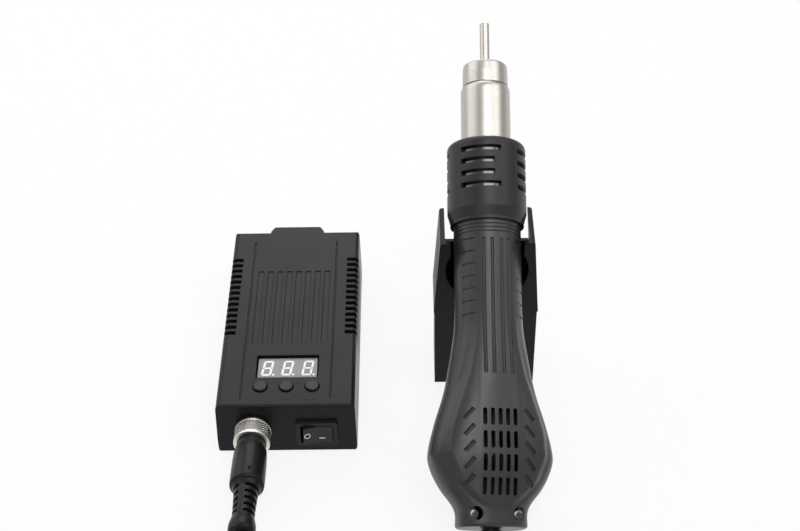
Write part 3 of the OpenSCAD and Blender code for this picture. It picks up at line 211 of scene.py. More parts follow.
tree.links.new(seen.outputs[0], mirrored.inputs[0])
tree.links.new(ray.outputs["Is Glossy Ray"], mirrored.inputs[1])
tree.links.new(mirrored.outputs[0], share.inputs[0])
tree.links.new(share.outputs[0], blend.inputs["Fac"])
tree.links.new(tree.nodes["Principled BSDF"].outputs[0], blend.inputs[1])
tree.links.new(white.outputs[0], blend.inputs[2])
tree.links.new(blend.outputs[0], tree.nodes["Material Output"].inputs["Surface"])
finish_as(table, paper)

world = bpy.data.worlds.new("room")
bpy.context.scene.world = world
world.use_nodes = True
tree = world.node_tree
tree.nodes["Background"].inputs["Color"].default_value = (1, 1, 1, 1)
room_ray = tree.nodes.new("ShaderNodeLightPath")
walls, shine, room = (tree.nodes.new("ShaderNodeMath") for _ in range(3))
walls.operation = "MAXIMUM"
shine.operation = room.operation = "MULTIPLY_ADD"
room_light, room_mirrored, room_seen = 0.26, 0.24, 0.66
shine.inputs[1].default_value, shine.inputs[2].default_value = room_mirrored, room_light
room.inputs[1].default_value = room_seen
tree.links.new(room_ray.outputs["Is Camera Ray"], walls.inputs[0])
tree.links.new(room_ray.outputs["Is Transmission Ray"], walls.inputs[1])
tree.links.new(room_ray.outputs["Is Glossy Ray"], shine.inputs[0])
tree.links.new(walls.outputs[0], room.inputs[0])
tree.links.new(shine.outputs[0], room.inputs[2])
tree.links.new(room.outputs[0], tree.nodes["Background"].inputs["Strength"])
for name, place, size, power in (
    ("box_left", (-0.85, 0.5, 0.7), 1.0, 4.6), ("box_right", (0.85, 0.1, 1.0), 0.7, 3.4),
    ("box_back", (0.0, 1.1, 1.0), 0.9, 6.8), ("box_front", (-0.2, -1.1, 1.25), 0.9, 3.5),
    ("box_above", (0.2, -0.34, 1.22), 0.6, 5.0),
):
    lamp_data = bpy.data.lights.new(name, "AREA")
    lamp_data.shape = "SQUARE"
    lamp_data.size = size
    lamp_data.energy = power
    lamp = bpy.data.objects.new(name, lamp_data)
    bpy.context.scene.collection.objects.link(lamp)
    lamp.location = place
    lamp.rotation_euler = (Vector((0, 0, 0.03)) - Vector(place)).to_track_quat("-Z", "Y").to_euler()
bpy.context.scene.view_settings.view_transform = "Standard"

# ---------------------------------------------------------------- Shells of the box
# Two moulded shells of black plastic with a satin finish, screwed together from below.
# Rubber feet sit in the lower one.
case_plastic = grained("case_plastic", (0.0095, 0.0095, 0.0105), 0.32, grain=2600, depth=0.00002, level=0.17,
                       soft=0.0006)
foot_rubber = grained("foot_rubber", (0.02, 0.02, 0.02), 0.7, grain=1200, depth=0.00005)
for name in ("case_top", "case_base"):
    finish_as(nodes[name], case_plastic)
finish_as(nodes["rubber_feet"], foot_rubber)

# ---------------------------------------------------------------- Display and buttons
# A three-digit block with a grey face and white bars sits on the display board, behind a window of the upper
# shell. Three black push buttons stand in their holes below it, with a thin raised dash under each.


def as_one(pieces):
    """Joins pieces into the first of them, with their places in the mesh."""
    bpy.ops.object.select_all(action="DESELECT")
    for piece in pieces:
        piece.select_set(True)
    bpy.context.view_layer.objects.active = pieces[0]
    bpy.ops.object.transform_apply(location=True, rotation=True, scale=True)
    bpy.ops.object.join()
    return bpy.context.object


display_face = grained("display_face", (0.2, 0.2, 0.21), 0.3, grain=3200, depth=0.00001, drift=0.03)
button_plastic = grained("button_plastic", (0.009, 0.009, 0.01), 0.24, grain=2400, depth=0.00001,
                         level=0.24)
finish_as(nodes["display_module"], display_face)
for name in ("button_left", "button_middle", "button_right"):
    finish_as(nodes[name], button_plastic)
bpy.ops.object.select_all(action="DESELECT")
button_pitch = 0.0127
dashes = []
for i in (-1, 0, 1):
    bpy.ops.mesh.primitive_cube_add(size=1, location=(-0.0475 + i * button_pitch, -0.0372, 0.03052))
    dash = bpy.context.object
    dash.dimensions = (0.0063, 0.0004, 0.00016)
    dashes.append(dash)
button_dashes = as_one(dashes)
button_dashes.name = "button_dashes"
bpy.ops.object.mode_set(mode="EDIT")
bpy.ops.mesh.select_all(action="SELECT")
bpy.ops.mesh.bevel(offset=0.00005, segments=2, affect="EDGES")
bpy.ops.object.mode_set(mode="OBJECT")
finish_as(button_dashes, button_plastic)
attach(button_dashes, "station")
digit_white = grained("digit_white", (0.86, 0.87, 0.88), 0.4, grain=2600, depth=0.000005, drift=0.03)
face_low, face_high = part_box("display_module")
face_middle = (Vector(face_low) + Vector(face_high)) / 2
face_top = face_high[2]
digit_w, digit_h, bar_w, bar_gap, bar_thick, digit_slant = 0.0052, 0.0103, 0.0011, 0.0003, 0.00008, 0.14
bars = [(0, 1, 0), (0, 0, 0), (0, -1, 0), (-1, 0.5, 90), (1, 0.5, 90), (-1, -0.5, 90), (1, -0.5, 90)]
bpy.ops.object.select_all(action="DESELECT")
marks = []
for centre in (-0.0108, -0.0006, 0.0097):
    for x, y, angle in bars:
        length = (digit_w if angle == 0 else digit_h / 2) - bar_w - bar_gap
        bpy.ops.mesh.primitive_cylinder_add(vertices=6, radius=0.5, depth=bar_thick,
                                            rotation=(0, 0, math.radians(30)))
        bar = bpy.context.object
        bpy.ops.object.transform_apply(rotation=True)
        for vertex in bar.data.vertices:
            tip = bar_w / 2 if abs(vertex.co.y) < 0.1 else 0
            vertex.co.x = math.copysign(length / 2 + tip, vertex.co.x)
            vertex.co.y *= bar_w / 0.866
        bar.rotation_euler.z = math.radians(angle)
        bar.location = (centre + x * (digit_w - bar_w) / 2, y * (digit_h - bar_w) / 2, 0)
        marks.append(bar)
    bpy.ops.mesh.primitive_cylinder_add(
        vertices=24, radius=0.00062, depth=bar_thick, location=(centre + 0.0037, -digit_h / 2 + 0.0006, 0)
    )
    marks.append(bpy.context.object)
digits = as_one(marks)
digits.name = "digits"
for vertex in digits.data.vertices:
    vertex.co = (face_middle.x + 0.0006 + vertex.co.x + digit_slant * vertex.co.y,
                 face_middle.y + vertex.co.y, face_top + 0.00004 + vertex.co.z)
finish_as(digits, digit_white)
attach(digits, "station")

# ---------------------------------------------------------------- Boards and parts inside
# Green boards carry the switches of the buttons, the transformer, two capacitors, a finned heat sink with its
# power switch, and a fuse.
board_lacquer = grained("board_lacquer", (0.02, 0.16, 0.07), 0.35, grain=700, depth=0.00002)
dark_plastic = grained("dark_plastic", (0.011, 0.011, 0.012), 0.38, grain=2000, depth=0.00002, level=0.25)
film = grained("capacitor_film", (0.03, 0.04, 0.1), 0.25, grain=900, depth=0.00001)
ceramic = grained("ceramic", (0.78, 0.76, 0.7), 0.6, grain=1500, depth=0.00003)
mica = grained("mica", (0.6, 0.56, 0.46), 0.45, grain=600, depth=0.00003)
for name in ("display_board", "power_board"):
    finish_as(nodes[name], board_lacquer)
for name in ("tact_switches", "transformer", "triac", "rocker_frame", "mains_inlet", "blower_housing",
             "fan_wheel"):
    finish_as(nodes[name], dark_plastic)
finish_as(nodes["capacitors"], film)
for name in ("fuse", "heater_core"):
    finish_as(nodes[name], ceramic)
finish_as(nodes["mica_sleeve"], mica)

# ---------------------------------------------------------------- Metal parts
# The tube, the nozzle and the shield are drawn and turned from stainless steel, with fine rings round them.
# The coupling ring, nut and screws are plated, and the inlet's pins are brass.


def turned_metal(name, colour, roughness, axis, rings=2600, depth=0.000006, drift=0.05):
    """Metal with fine rings across an axis, from the tool that turned or brushed it."""
    made = bpy.data.materials.new(name)
    made.use_nodes = True
    tree = made.node_tree
    shader = tree.nodes["Principled BSDF"]
    shader.inputs["Metallic"].default_value = 1
    place = tree.nodes.new("ShaderNodeTexCoord")
    turn_in = tree.nodes.new("ShaderNodeMapping")
    turn_in.vector_type = "POINT"
    turn_in.inputs["Rotation"].default_value = Vector(axis).rotation_difference(Vector((0, 0, 1))).to_euler()
    turn_in.inputs["Scale"].default_value = (0.02, 0.02, 1)
    fine = tree.nodes.new("ShaderNodeTexNoise")
    fine.inputs["Scale"].default_value = rings
    fine.inputs["Detail"].default_value = 4
    slow = tree.nodes.new("ShaderNodeTexNoise")
    slow.inputs["Scale"].default_value = 60
    gloss = tree.nodes.new("ShaderNodeMapRange")
    gloss.inputs["From Min"].default_value, gloss.inputs["From Max"].default_value = 0.3, 0.7
    gloss.inputs["To Min"].default_value = roughness - drift
    gloss.inputs["To Max"].default_value = roughness + drift
    tone = tree.nodes.new("ShaderNodeValToRGB")
    tone.color_ramp.elements[0].position, tone.color_ramp.elements[1].position = 0.3, 0.7
    tone.color_ramp.elements[0].color = [c * 0.9 for c in colour] + [1]
    tone.color_ramp.elements[1].color = [min(c * 1.08, 1) for c in colour] + [1]
    bump = tree.nodes.new("ShaderNodeBump")
    bump.inputs["Strength"].default_value = 0.5
    bump.inputs["Distance"].default_value = depth
    tree.links.new(place.outputs["Object"], turn_in.inputs["Vector"])
    tree.links.new(turn_in.outputs["Vector"], fine.inputs["Vector"])
    tree.links.new(place.outputs["Object"], slow.inputs["Vector"])
    tree.links.new(slow.outputs["Fac"], gloss.inputs["Value"])
    tree.links.new(gloss.outputs["Result"], shader.inputs["Roughness"])
    tree.links.new(fine.outputs["Fac"], tone.inputs["Fac"])
    tree.links.new(tone.outputs["Color"], shader.inputs["Base Color"])
    tree.links.new(fine.outputs["Fac"], bump.inputs["Height"])
    tree.links.new(bump.outputs["Normal"], shader.inputs["Normal"])
    return made


gun_axis = Vector((0.01098, 0.83860, 0.54464))
plug_axis = Vector((0, -0.9946, 0.1038))
steel = turned_metal("turned_steel", (0.49, 0.47, 0.435), 0.35, gun_axis, rings=4200, depth=0.0000005,
                     drift=0.012)
zinc = turned_metal("zinc_plate", (0.6, 0.6, 0.6), 0.35, (0, 0, 1))
# The socket is coloured dark as painted shade, for the shadow behind the coupling ring.
socket_painted_shade_metal = turned_metal("socket_painted_shade_metal", (0.1, 0.095, 0.09), 0.34, plug_axis, rings=1200)
brass = turned_metal("brass", (0.7, 0.5, 0.2), 0.3, (0, 1, 0))
fins = turned_metal("cast_fins", (0.55, 0.55, 0.57), 0.4, (1, 0, 0))
# The shield's steel is coloured near black as painted shade, for the dark inside of the slotted collar.
shield_painted_shade_steel = turned_metal("shield_painted_shade_steel", (0.09, 0.088, 0.085), 0.16, gun_axis, depth=0.000002)
motor_steel = turned_metal("motor_steel", (0.16, 0.16, 0.16), 0.35, gun_axis)
for name in ("heater_tube", "nozzle"):
    finish_as(nodes[name], steel)
finish_as(nodes["heat_shield"], shield_painted_shade_steel)
finish_as(nodes["blower_motor"], motor_steel)
finish_as(nodes["socket_nut"], zinc)
finish_as(nodes["panel_socket"], socket_painted_shade_metal)
finish_as(nodes["inlet_pins"], brass)
finish_as(nodes["heat_sink"], fins)

# ---------------------------------------------------------------- Rocker switch
# A glossy black rocker, clipped on its pivot in a rim that snaps into the box's front. The usual ring and
# stroke are printed in white near its lower edge, one on each half.
rocker_gloss = grained("rocker_gloss", (0.01, 0.01, 0.011), 0.24, grain=2600, depth=0.000008, drift=0.04,
                       level=0.35)
finish_as(nodes["rocker_paddle"], rocker_gloss)
print_white = grained("print_white", (0.75, 0.75, 0.75), 0.55, grain=3000, depth=0.000005)
lean = math.atan2(3.1, 29.7)
switch_place = Matrix.Translation((-0.0323, -0.04324, 0.0129)) @ Matrix.Rotation(-lean, 4, "X")
bpy.ops.object.select_all(action="DESELECT")
bpy.ops.mesh.primitive_torus_add(
    major_radius=0.00138, minor_radius=0.00024, major_segments=40, minor_segments=8,
    rotation=(math.pi / 2, 0, 0),
)
ring_mark = bpy.context.object
ring_mark.name = "switch_ring_mark"
bpy.ops.object.transform_apply(rotation=True)
ring_mark.data.transform(
    switch_place @ Matrix.Translation((-0.0046, -0.00364, 0.0003)) @ Matrix.Rotation(math.radians(16), 4, "Z")
    @ Matrix.Diagonal((1, 0.3, 1, 1))
)
bpy.ops.mesh.primitive_cube_add(size=0.0006)
stroke_mark = bpy.context.object
stroke_mark.name = "switch_stroke_mark"
bpy.ops.object.mode_set(mode="EDIT")
bpy.ops.mesh.select_all(action="SELECT")
bpy.ops.transform.resize(value=(5, 0.25, 1))
bpy.ops.mesh.bevel(offset=0.00003, segments=2, affect="EDGES")
bpy.ops.object.mode_set(mode="OBJECT")
stroke_mark.data.transform(switch_place @ Matrix.Translation((0.0027, -0.00224, -0.0021)))
for mark in (ring_mark, stroke_mark):
    finish_as(mark, print_white)
    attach(mark, "rocker")

# ---------------------------------------------------------------- Coupling ring
# The ring that screws the plug to its socket: turned brass with a nickel plate, a diamond knurl round its
# middle and a polished rim at each end.
plug_place = (Matrix.Translation((-0.0641, -0.042986, 0.0153)) @ Matrix.Rotation(-lean, 4, "X")
              @ Matrix.Scale(0.001, 4))


def spun(name, profile, steps=96):
    """A turned piece in millimetres: radius and distance, extruded from point to point and spun round Y."""
    bpy.ops.object.select_all(action="DESELECT")
    bpy.ops.mesh.primitive_plane_add(size=1, location=(0, 0, 0))
    made = bpy.context.object
    made.name = name
    bpy.ops.object.mode_set(mode="EDIT")
    bpy.ops.mesh.select_all(action="SELECT")
    bpy.ops.mesh.merge(type="CENTER")
    bpy.ops.transform.translate(value=(profile[0][0], -profile[0][1], 0))
    for (r0, d0), (r1, d1) in zip(profile, profile[1:]):
        bpy.ops.mesh.extrude_region_move(TRANSFORM_OT_translate={"value": (r1 - r0, d0 - d1, 0)})
    bpy.ops.mesh.select_all(action="SELECT")
    bpy.ops.mesh.spin(steps=steps, angle=2 * math.pi, center=(0, 0, 0), axis=(0, 1, 0))
    bpy.ops.mesh.select_all(action="SELECT")
    bpy.ops.mesh.remove_doubles(threshold=0.0005)
    bpy.ops.mesh.normals_make_consistent(inside=False)
    bpy.ops.object.mode_set(mode="OBJECT")
    return made


knurl_low, knurl_high, knurl_count = 2.7, 9.7, 38
ring = spun("knurled_ring", [
    (7.35, 2.0), (8.6, 1.85), (9.0, 2.0), (9.1, 2.3), (8.85, 2.55),
    *[(9.2, knurl_low + i * (knurl_high - knurl_low) / 42) for i in range(43)],
    (8.85, 9.9), (9.1, 10.15), (9.15, 10.6), (9.0, 11.1), (8.7, 11.38), (7.35, 11.38), (7.35, 2.0),
], steps=360)
# Painted shade in the knurl: each vertex gets a grey that is darker the deeper it lies in a valley.
knurl_painted_shade = ring.data.color_attributes.new("groove", "FLOAT_COLOR", "POINT")
for vertex in ring.data.vertices:
    knurl_painted_shade.data[vertex.index].color = (1, 1, 1, 1)
    reach = math.hypot(vertex.co.x, vertex.co.z)
    if knurl_low - 0.01 <= -vertex.co.y <= knurl_high + 0.01 and reach > 9:
        round_it = math.atan2(vertex.co.z, vertex.co.x) * knurl_count / (2 * math.pi)
        along = -vertex.co.y * knurl_count / (2 * math.pi * 9.2)
        height = min(1 - abs(2 * ((round_it + along) % 1) - 1), 1 - abs(2 * ((round_it - along) % 1) - 1))
        scale = (8.86 + 0.34 * height) / reach
        vertex.co.x *= scale
        vertex.co.z *= scale
        knurl_painted_shade.data[vertex.index].color = (*[0.15 + 0.85 * height] * 3, 1)
ring.data.transform(plug_place)
bpy.ops.object.shade_smooth_by_angle(angle=math.radians(28))
knurl_plate = turned_metal("knurl_plate", (0.78, 0.75, 0.7), 0.34, plug_axis, rings=900, depth=0.000004)
# The plate's colour is multiplied by the knurl's painted shade, so its valleys are darker.
tree = knurl_plate.node_tree
groove = tree.nodes.new("ShaderNodeAttribute")
groove.attribute_name = "groove"
shade = tree.nodes.new("ShaderNodeMix")
shade.data_type, shade.blend_type = "RGBA", "MULTIPLY"
shade.inputs["Factor"].default_value = 1
for link in list(tree.links):
    if link.to_socket == tree.nodes["Principled BSDF"].inputs["Base Color"]:
        tree.links.new(link.from_socket, shade.inputs[6])
tree.links.new(groove.outputs["Color"], shade.inputs[7])
tree.links.new(shade.outputs[2], tree.nodes["Principled BSDF"].inputs["Base Color"])
finish_as(ring, knurl_plate)
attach(ring, "ring")
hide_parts("coupling_ring")

# ---------------------------------------------------------------- Plug and sleeves
# Moulded rubber: the plug's body, narrow at the ring, the slotted sleeve behind it that lets the cord bend,
# and the ribbed sleeve at the gun's tail.


def cut_away(piece, cutter, overlapping=False):
    """Takes the cutter's shape out of a piece, and removes the cutter."""
    bpy.ops.object.select_all(action="DESELECT")
    piece.select_set(True)
    bpy.context.view_layer.objects.active = piece
    cut = piece.modifiers.new("cut", "BOOLEAN")
    cut.operation, cut.solver, cut.object, cut.use_self = "DIFFERENCE", "EXACT", cutter, overlapping
    bpy.ops.object.modifier_apply(modifier="cut")
    bpy.data.objects.remove(cutter)


plug_rubber = grained("plug_rubber", (0.008, 0.008, 0.009), 0.34, grain=1100, depth=0.00004, level=0.18)
plug = spun("plug_shell", [
    (0, 8.35), (7.1, 8.35), (7.15, 11.4), (6.95, 11.9), (7.05, 13.4), (7.6, 15.6), (8.05, 17.6), (8.3, 20.5),
    (8.45, 25), (8.5, 32), (8.5, 39.6), (8.35, 40.7), (7.9, 41.4), (7.3, 41.68), (0, 41.68),
])
ridges = []
for i in range(3):
    for side in (42, 222):
        bpy.ops.mesh.primitive_torus_add(
            major_radius=8.44, minor_radius=0.28, major_segments=96, minor_segments=8,
            location=(0, -(22.8 + 3.1 * i), 0), rotation=(math.pi / 2, 0, 0),
        )
        ridge = bpy.context.object
        bpy.ops.object.transform_apply(location=True, rotation=True)
        bpy.ops.object.mode_set(mode="EDIT")
        bpy.ops.mesh.select_all(action="DESELECT")
        arc = bmesh.from_edit_mesh(ridge.data)
        for vertex in arc.verts:
            off = (math.degrees(math.atan2(vertex.co.z, vertex.co.x)) - side + 180) % 360 - 180
            vertex.select = abs(off) > 15
        arc.select_flush(True)
        bmesh.update_edit_mesh(ridge.data)
        bpy.ops.mesh.delete(type="VERT")
        bpy.ops.mesh.select_all(action="SELECT")
        bpy.ops.mesh.region_to_loop()
        bpy.ops.mesh.edge_face_add()
        bpy.ops.object.mode_set(mode="OBJECT")
        ridges.append(ridge)
dimple_cutters = []
for angle in (75, 255):
    bpy.ops.mesh.primitive_uv_sphere_add(segments=32, ring_count=16, radius=2.2)
    dimple = bpy.context.object
    dimple.location = (9.9 * math.cos(math.radians(angle)), -36.4, 9.9 * math.sin(math.radians(angle)))
    dimple_cutters.append(dimple)
cut_away(plug, as_one(dimple_cutters))
as_one([plug, *ridges])
plug.data.transform(plug_place)
bpy.ops.object.shade_smooth_by_angle(angle=math.radians(34))
finish_as(plug, plug_rubber)
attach(plug, "station")
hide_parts("plug_body")
sleeve = spun("slotted_sleeve", [
    (0, 41.75), (7.3, 41.75), (7.05, 42.5), (6.25, 43.8), (5.98, 45.4), (5.8, 48), (5.45, 57), (5.4, 59.4),
    (5.5, 62), (5.8, 64), (6.25, 65.8), (6.55, 67.6), (6.6, 69.6), (6.5, 71.2), (6.1, 72.3), (5.4, 72.8),
    (3.4, 72.9), (0, 72.9),
])
slots = []
for i in range(5):
    for side in (-14, 166):
        bpy.ops.mesh.primitive_cylinder_add(vertices=64, radius=9, depth=1.9,
                                            location=(0, -(44.9 + 4.08 * i), 0), rotation=(math.pi / 2, 0, 0))
        slot = bpy.context.object
        bpy.ops.object.transform_apply(location=True, rotation=True)
        bpy.ops.object.mode_set(mode="EDIT")
        bpy.ops.mesh.select_all(action="SELECT")
        middle = math.radians(-side)
        normal = (math.cos(middle), 0, math.sin(middle))
        bpy.ops.mesh.bisect(plane_co=(1.5 * normal[0], 0, 1.5 * normal[2]), plane_no=normal, clear_inner=True,
                            use_fill=True)
        bpy.ops.object.mode_set(mode="OBJECT")
        slots.append(slot)
core_keep = spun("core_keep", [(0, 40), (4.0, 40), (4.0, 75), (0, 75)], steps=48)
slots = as_one(slots)
cut_away(slots, core_keep)
cut_away(sleeve, slots)
sleeve.data.transform(plug_place)
bpy.ops.object.shade_smooth_by_angle(angle=math.radians(34))
finish_as(sleeve, plug_rubber)
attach(sleeve, "station")
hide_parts("plug_sleeve")
finish_as(nodes["gun_sleeve"], plug_rubber)

# ---------------------------------------------------------------- Coil tie
# A flat rubber strap round all the turns of the coil keeps the stored length together. It has a small buckle
# on top, and it lies outside the camera's view.
round_turns = []
for centre_r, centre_z, first, last in ((46.9, 3.55, -95, 35), (43.2, 10.5, 35, 150), (32.9, 3.55, 140, 265)):
    for step in range(9):
        angle = math.radians(first + (last - first) * step / 8)
        round_turns.append((centre_r + 4.1 * math.cos(angle), max(centre_z + 4.1 * math.sin(angle), 0.7)))
bpy.ops.object.select_all(action="DESELECT")
bpy.ops.mesh.primitive_circle_add(vertices=len(round_turns), radius=1)
tie = bpy.context.object
tie.name = "coil_tie"
for vertex, (r, z) in zip(tie.data.vertices, round_turns):
    vertex.co = (r, -2.4, z)
bpy.ops.object.mode_set(mode="EDIT")
bpy.ops.mesh.select_all(action="SELECT")
bpy.ops.mesh.extrude_region_move(TRANSFORM_OT_translate={"value": (0, 4.8, 0)})
bpy.ops.mesh.select_all(action="SELECT")
bpy.ops.mesh.normals_make_consistent(inside=False)
bpy.ops.object.mode_set(mode="OBJECT")
strap = tie.modifiers.new("strap", "SOLIDIFY")
strap.thickness, strap.offset = 0.7, 0
bpy.ops.object.modifier_apply(modifier="strap")
rim = tie.modifiers.new("rim", "BEVEL")
rim.width, rim.segments, rim.limit_method, rim.angle_limit = 0.2, 2, "ANGLE", math.radians(60)
bpy.ops.object.modifier_apply(modifier="rim")
bpy.ops.mesh.primitive_cube_add(size=1, location=(42.6, 0, 15.1))
buckle = bpy.context.object
buckle.dimensions = (6.4, 5.8, 1.6)
bpy.ops.object.transform_apply(location=True, scale=True)
rim = buckle.modifiers.new("rim", "BEVEL")
rim.width, rim.segments = 0.35, 3
bpy.ops.object.modifier_apply(modifier="rim")
as_one([tie, buckle])
tie.data.transform(Matrix.Translation((coil_middle[0] / 1000, coil_middle[1] / 1000, 0))
                   @ Matrix.Scale(0.001, 4) @ Matrix.Rotation(math.radians(300), 4, "Z"))
bpy.ops.object.shade_smooth_by_angle(angle=math.radians(40))
finish_as(tie, plug_rubber)
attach(tie, "station")

# ---------------------------------------------------------------- Holder
# A moulded cradle of black plastic, open at the top: a front wall with a round notch for the gun's neck and
# two tall sides. Its back is a plate of its own, held by four screws.
holder_plastic = grained("holder_plastic", (0.009, 0.009, 0.01), 0.4, grain=2000, depth=0.00003, level=0.16,
                         soft=0.0005)
for name in ("holder_body", "holder_back"):
    finish_as(nodes[name], holder_plastic)

# ---------------------------------------------------------------- Handle of the gun
# Two moulded halves of black plastic meet in a fine parting line. The bulb over the blower has rows of
# vents and slanting grooves on its flat face, and the round grip has flutes, short side grooves and rings
# at its end.
handle_plastic = grained("handle_plastic", (0.033, 0.033, 0.0352), 0.35, grain=2200, depth=0.00004,
                         level=0.42)
gun_place = (Matrix.Translation((0.0523, -0.1045, 0.01178)) @ Matrix.Rotation(math.radians(-0.75), 4, "Z")
             @ Matrix.Rotation(math.radians(33), 4, "X"))
face_place = gun_place @ Matrix.Rotation(math.radians(14), 4, "Y")
sections = [
    (0, 17, 13.2, 2.5), (9, 17.6, 13.8, 2.5), (19, 24.84, 15.84, 2.5), (27, 28.9, 17.52, 2.5),
    (34, 30.3, 18, 2.5), (48.1, 27.31, 18, 2.4), (64.1, 22.41, 17.74, 2.25), (80.1, 19.28, 17.35, 2.1),
    (98, 16.85, 16.8, 2), (138, 16.7, 16.7, 2), (160, 16.7, 16.7, 2),
]
face_edge = [(8, 4), (13.1, 11.3), (21.5, 19.6), (33.4, 24.2), (45.2, 23.7), (61.9, 18.4), (72, 14.6),
             (86, 11.6), (104, 10.4)]


def section_at(s):
    """Half width, half depth and roundness of the handle at a distance from its tail."""
    i = max(k for k in range(len(sections) - 1) if s >= sections[k][0] or k == 0)
    a, b = sections[i], sections[i + 1]
    h = b[0] - a[0]
    t = (s - a[0]) / h
    before, after = sections[max(i - 1, 0)], sections[min(i + 2, len(sections) - 1)]
    values = []
    for c in (1, 2, 3):
        m0 = (b[c] - before[c]) / (b[0] - before[0]) * h
        m1 = (after[c] - a[c]) / (after[0] - a[0]) * h
        values.append((2 * t**3 - 3 * t**2 + 1) * a[c] + (t**3 - 2 * t**2 + t) * m0
                      + (3 * t**2 - 2 * t**3) * b[c] + (t**3 - t**2) * m1)
    return values


def face_height(x, s):
    half, depth, p = section_at(s)
    return depth * max(1 - (abs(x) / half) ** p, 0) ** (1 / p)


def handle_surface(s, angle):
    """A point of the outside. The flat face stands a little proud, inside a soft edge."""
    half, depth, p = section_at(min(s, 147))
    inset = 0.9 * (1 - min(s, 1.2) / 1.2) ** 2 + (0.25 if s > 147.9 else 0)
    c, d = math.cos(angle), math.sin(angle)
    x = (half - inset) * math.copysign(abs(c) ** (2 / p), c)
    z = (depth - inset) * math.copysign(abs(d) ** (2 / p), d)
    if d > 0 and face_edge[0][0] < s < face_edge[-1][0]:
        for (s0, u0), (s1, u1) in zip(face_edge, face_edge[1:]):
            if s0 <= s <= s1:
                edge = u0 + (u1 - u0) * (s - s0) / (s1 - s0)
        rise = min(max((edge - abs(x)) / 1.3, 0), 1)
        ends = max(min((s - 8) / 5, (104 - s) / 34, 1), 0)
        z += ((0.45 + 0.85 * min(abs(x) / edge, 1) ** 2) * rise * rise * (3 - 2 * rise) - 0.3) * ends
        z -= 0.45 * math.exp(-((abs(x) - edge - 1.3) / 0.9) ** 2) * ends
        strip = min(max((11.2 - 0.05 * max(s - 45, 0) - abs(x)) / 1.2, 0), 1)
        z += 0.3 * strip * strip * (3 - 2 * strip) * max(min((s - 9) / 6, (84 - s) / 30, 1), 0)
    return Vector((x, s, z))


lengths = ([0, 0.15, 0.4, 0.8, 1.2] + [2 + i * 1.0 for i in range(98)] + [101 + i * 3 for i in range(16)]
           + [147.9, 147.95, 155])
around = 128
bpy.ops.object.select_all(action="DESELECT")
bpy.ops.mesh.primitive_grid_add(x_subdivisions=around, y_subdivisions=len(lengths) - 1, size=2)
handle = bpy.context.object
handle.name = "handle"
for vertex in handle.data.vertices:
    turn_at = (vertex.co.x + 1) * math.pi
    row = round((vertex.co.y + 1) / 2 * (len(lengths) - 1))
    vertex.co = handle_surface(lengths[row], turn_at)
bpy.ops.object.mode_set(mode="EDIT")
bpy.ops.mesh.select_all(action="SELECT")
bpy.ops.mesh.remove_doubles(threshold=0.00001)
bpy.ops.mesh.select_all(action="DESELECT")
shape = bmesh.from_edit_mesh(handle.data)
for edge in shape.edges:
    edge.select = all(v.co.y < 0.0001 for v in edge.verts)
bmesh.update_edit_mesh(handle.data)
bpy.ops.mesh.edge_face_add()
bpy.ops.mesh.select_all(action="SELECT")
bpy.ops.mesh.normals_make_consistent(inside=False)
bpy.ops.object.mode_set(mode="OBJECT")
wall = handle.modifiers.new("wall", "SOLIDIFY")
wall.thickness, wall.offset = 2.2, -1
bpy.ops.object.modifier_apply(modifier="wall")

flute_r, side_groove_r, slant_groove_r, ring_groove_r, seam_r = 0.95, 0.62, 1.1, 0.4, 0.22
cutters = []
for x in (-6.4, -2.4, 2.4, 6.4):
    flute = [(x, s, face_height(x, s) + 0.2) for s in (71.5, 78, 85, 92, 98, 118, 138.5)]
    cutters.append((flute, flute_r))
for i in range(7):
    for side in (-1, 1):
        groove = []
        for angle in range(38, 66, 5):
            a = math.radians(angle)
            groove.append((side * 16.75 * math.sin(a), 138.4 - i * 6.25, 16.75 * math.cos(a)))
        cutters.append((groove, side_groove_r))
for i in range(5):
    for side in (-1, 1):
        inner_s, outer_s = 54.6 - i * 7.8, 49.6 - i * 7.8
        slant = ((12.4, inner_s), (14.6, (inner_s + outer_s) / 2), (16.9, outer_s))
        cutters.append(([(side * x, s, face_height(x, s) + 0.35) for x, s in slant], slant_groove_r))
for s in (142, 143.9, 145.8):
    cutters.append(([(16.75 * math.sin(math.radians(a)), s, 16.75 * math.cos(math.radians(a)))
                     for a in range(-90, 271, 10)], ring_groove_r))
for angle in (0, math.pi):
    line = [handle_surface(s, angle) for s in range(2, 141, 6)]
    cutters.append(([(p.x, p.y, 0) for p in line], seam_r))
cut_pieces = []
for number, (points, radius) in enumerate(cutters):
    curve = bpy.data.curves.new(f"cut_{number}", "CURVE")
    curve.dimensions = "3D"
    curve.bevel_depth = radius
    curve.bevel_resolution = 2
    curve.resolution_u = 3
    curve.use_fill_caps = True
    spline = curve.splines.new("BEZIER")
    spline.bezier_points.add(len(points) - 1)
    for knot, point in zip(spline.bezier_points, points):
        knot.co = Vector(point)
        knot.handle_left_type = knot.handle_right_type = "AUTO"
    piece = bpy.data.objects.new(f"cut_{number}", curve)
    bpy.context.scene.collection.objects.link(piece)
    cut_pieces.append(piece)
bpy.ops.object.select_all(action="DESELECT")
for piece in cut_pieces:
    piece.select_set(True)
bpy.context.view_layer.objects.active = cut_pieces[0]
bpy.ops.object.convert(target="MESH")
cut_pieces = list(bpy.context.selected_objects)
for row in range(4):
    for column in range(5):
        bpy.ops.mesh.primitive_cylinder_add(vertices=20, radius=1, depth=22,
                                            location=((column - 2) * 3.7, 50.7 - row * 10.8, 14))
        slot = bpy.context.object
        for vertex in slot.data.vertices:
            vertex.co.y += math.copysign(3.1, vertex.co.y) if abs(vertex.co.y) > 0.01 else 0
        cut_pieces.append(slot)
for x in (-10.6, 10.6):
    bpy.ops.mesh.primitive_cylinder_add(vertices=40, radius=3.3, depth=12, location=(x, 6, 15.6))
    cut_pieces.append(bpy.context.object)
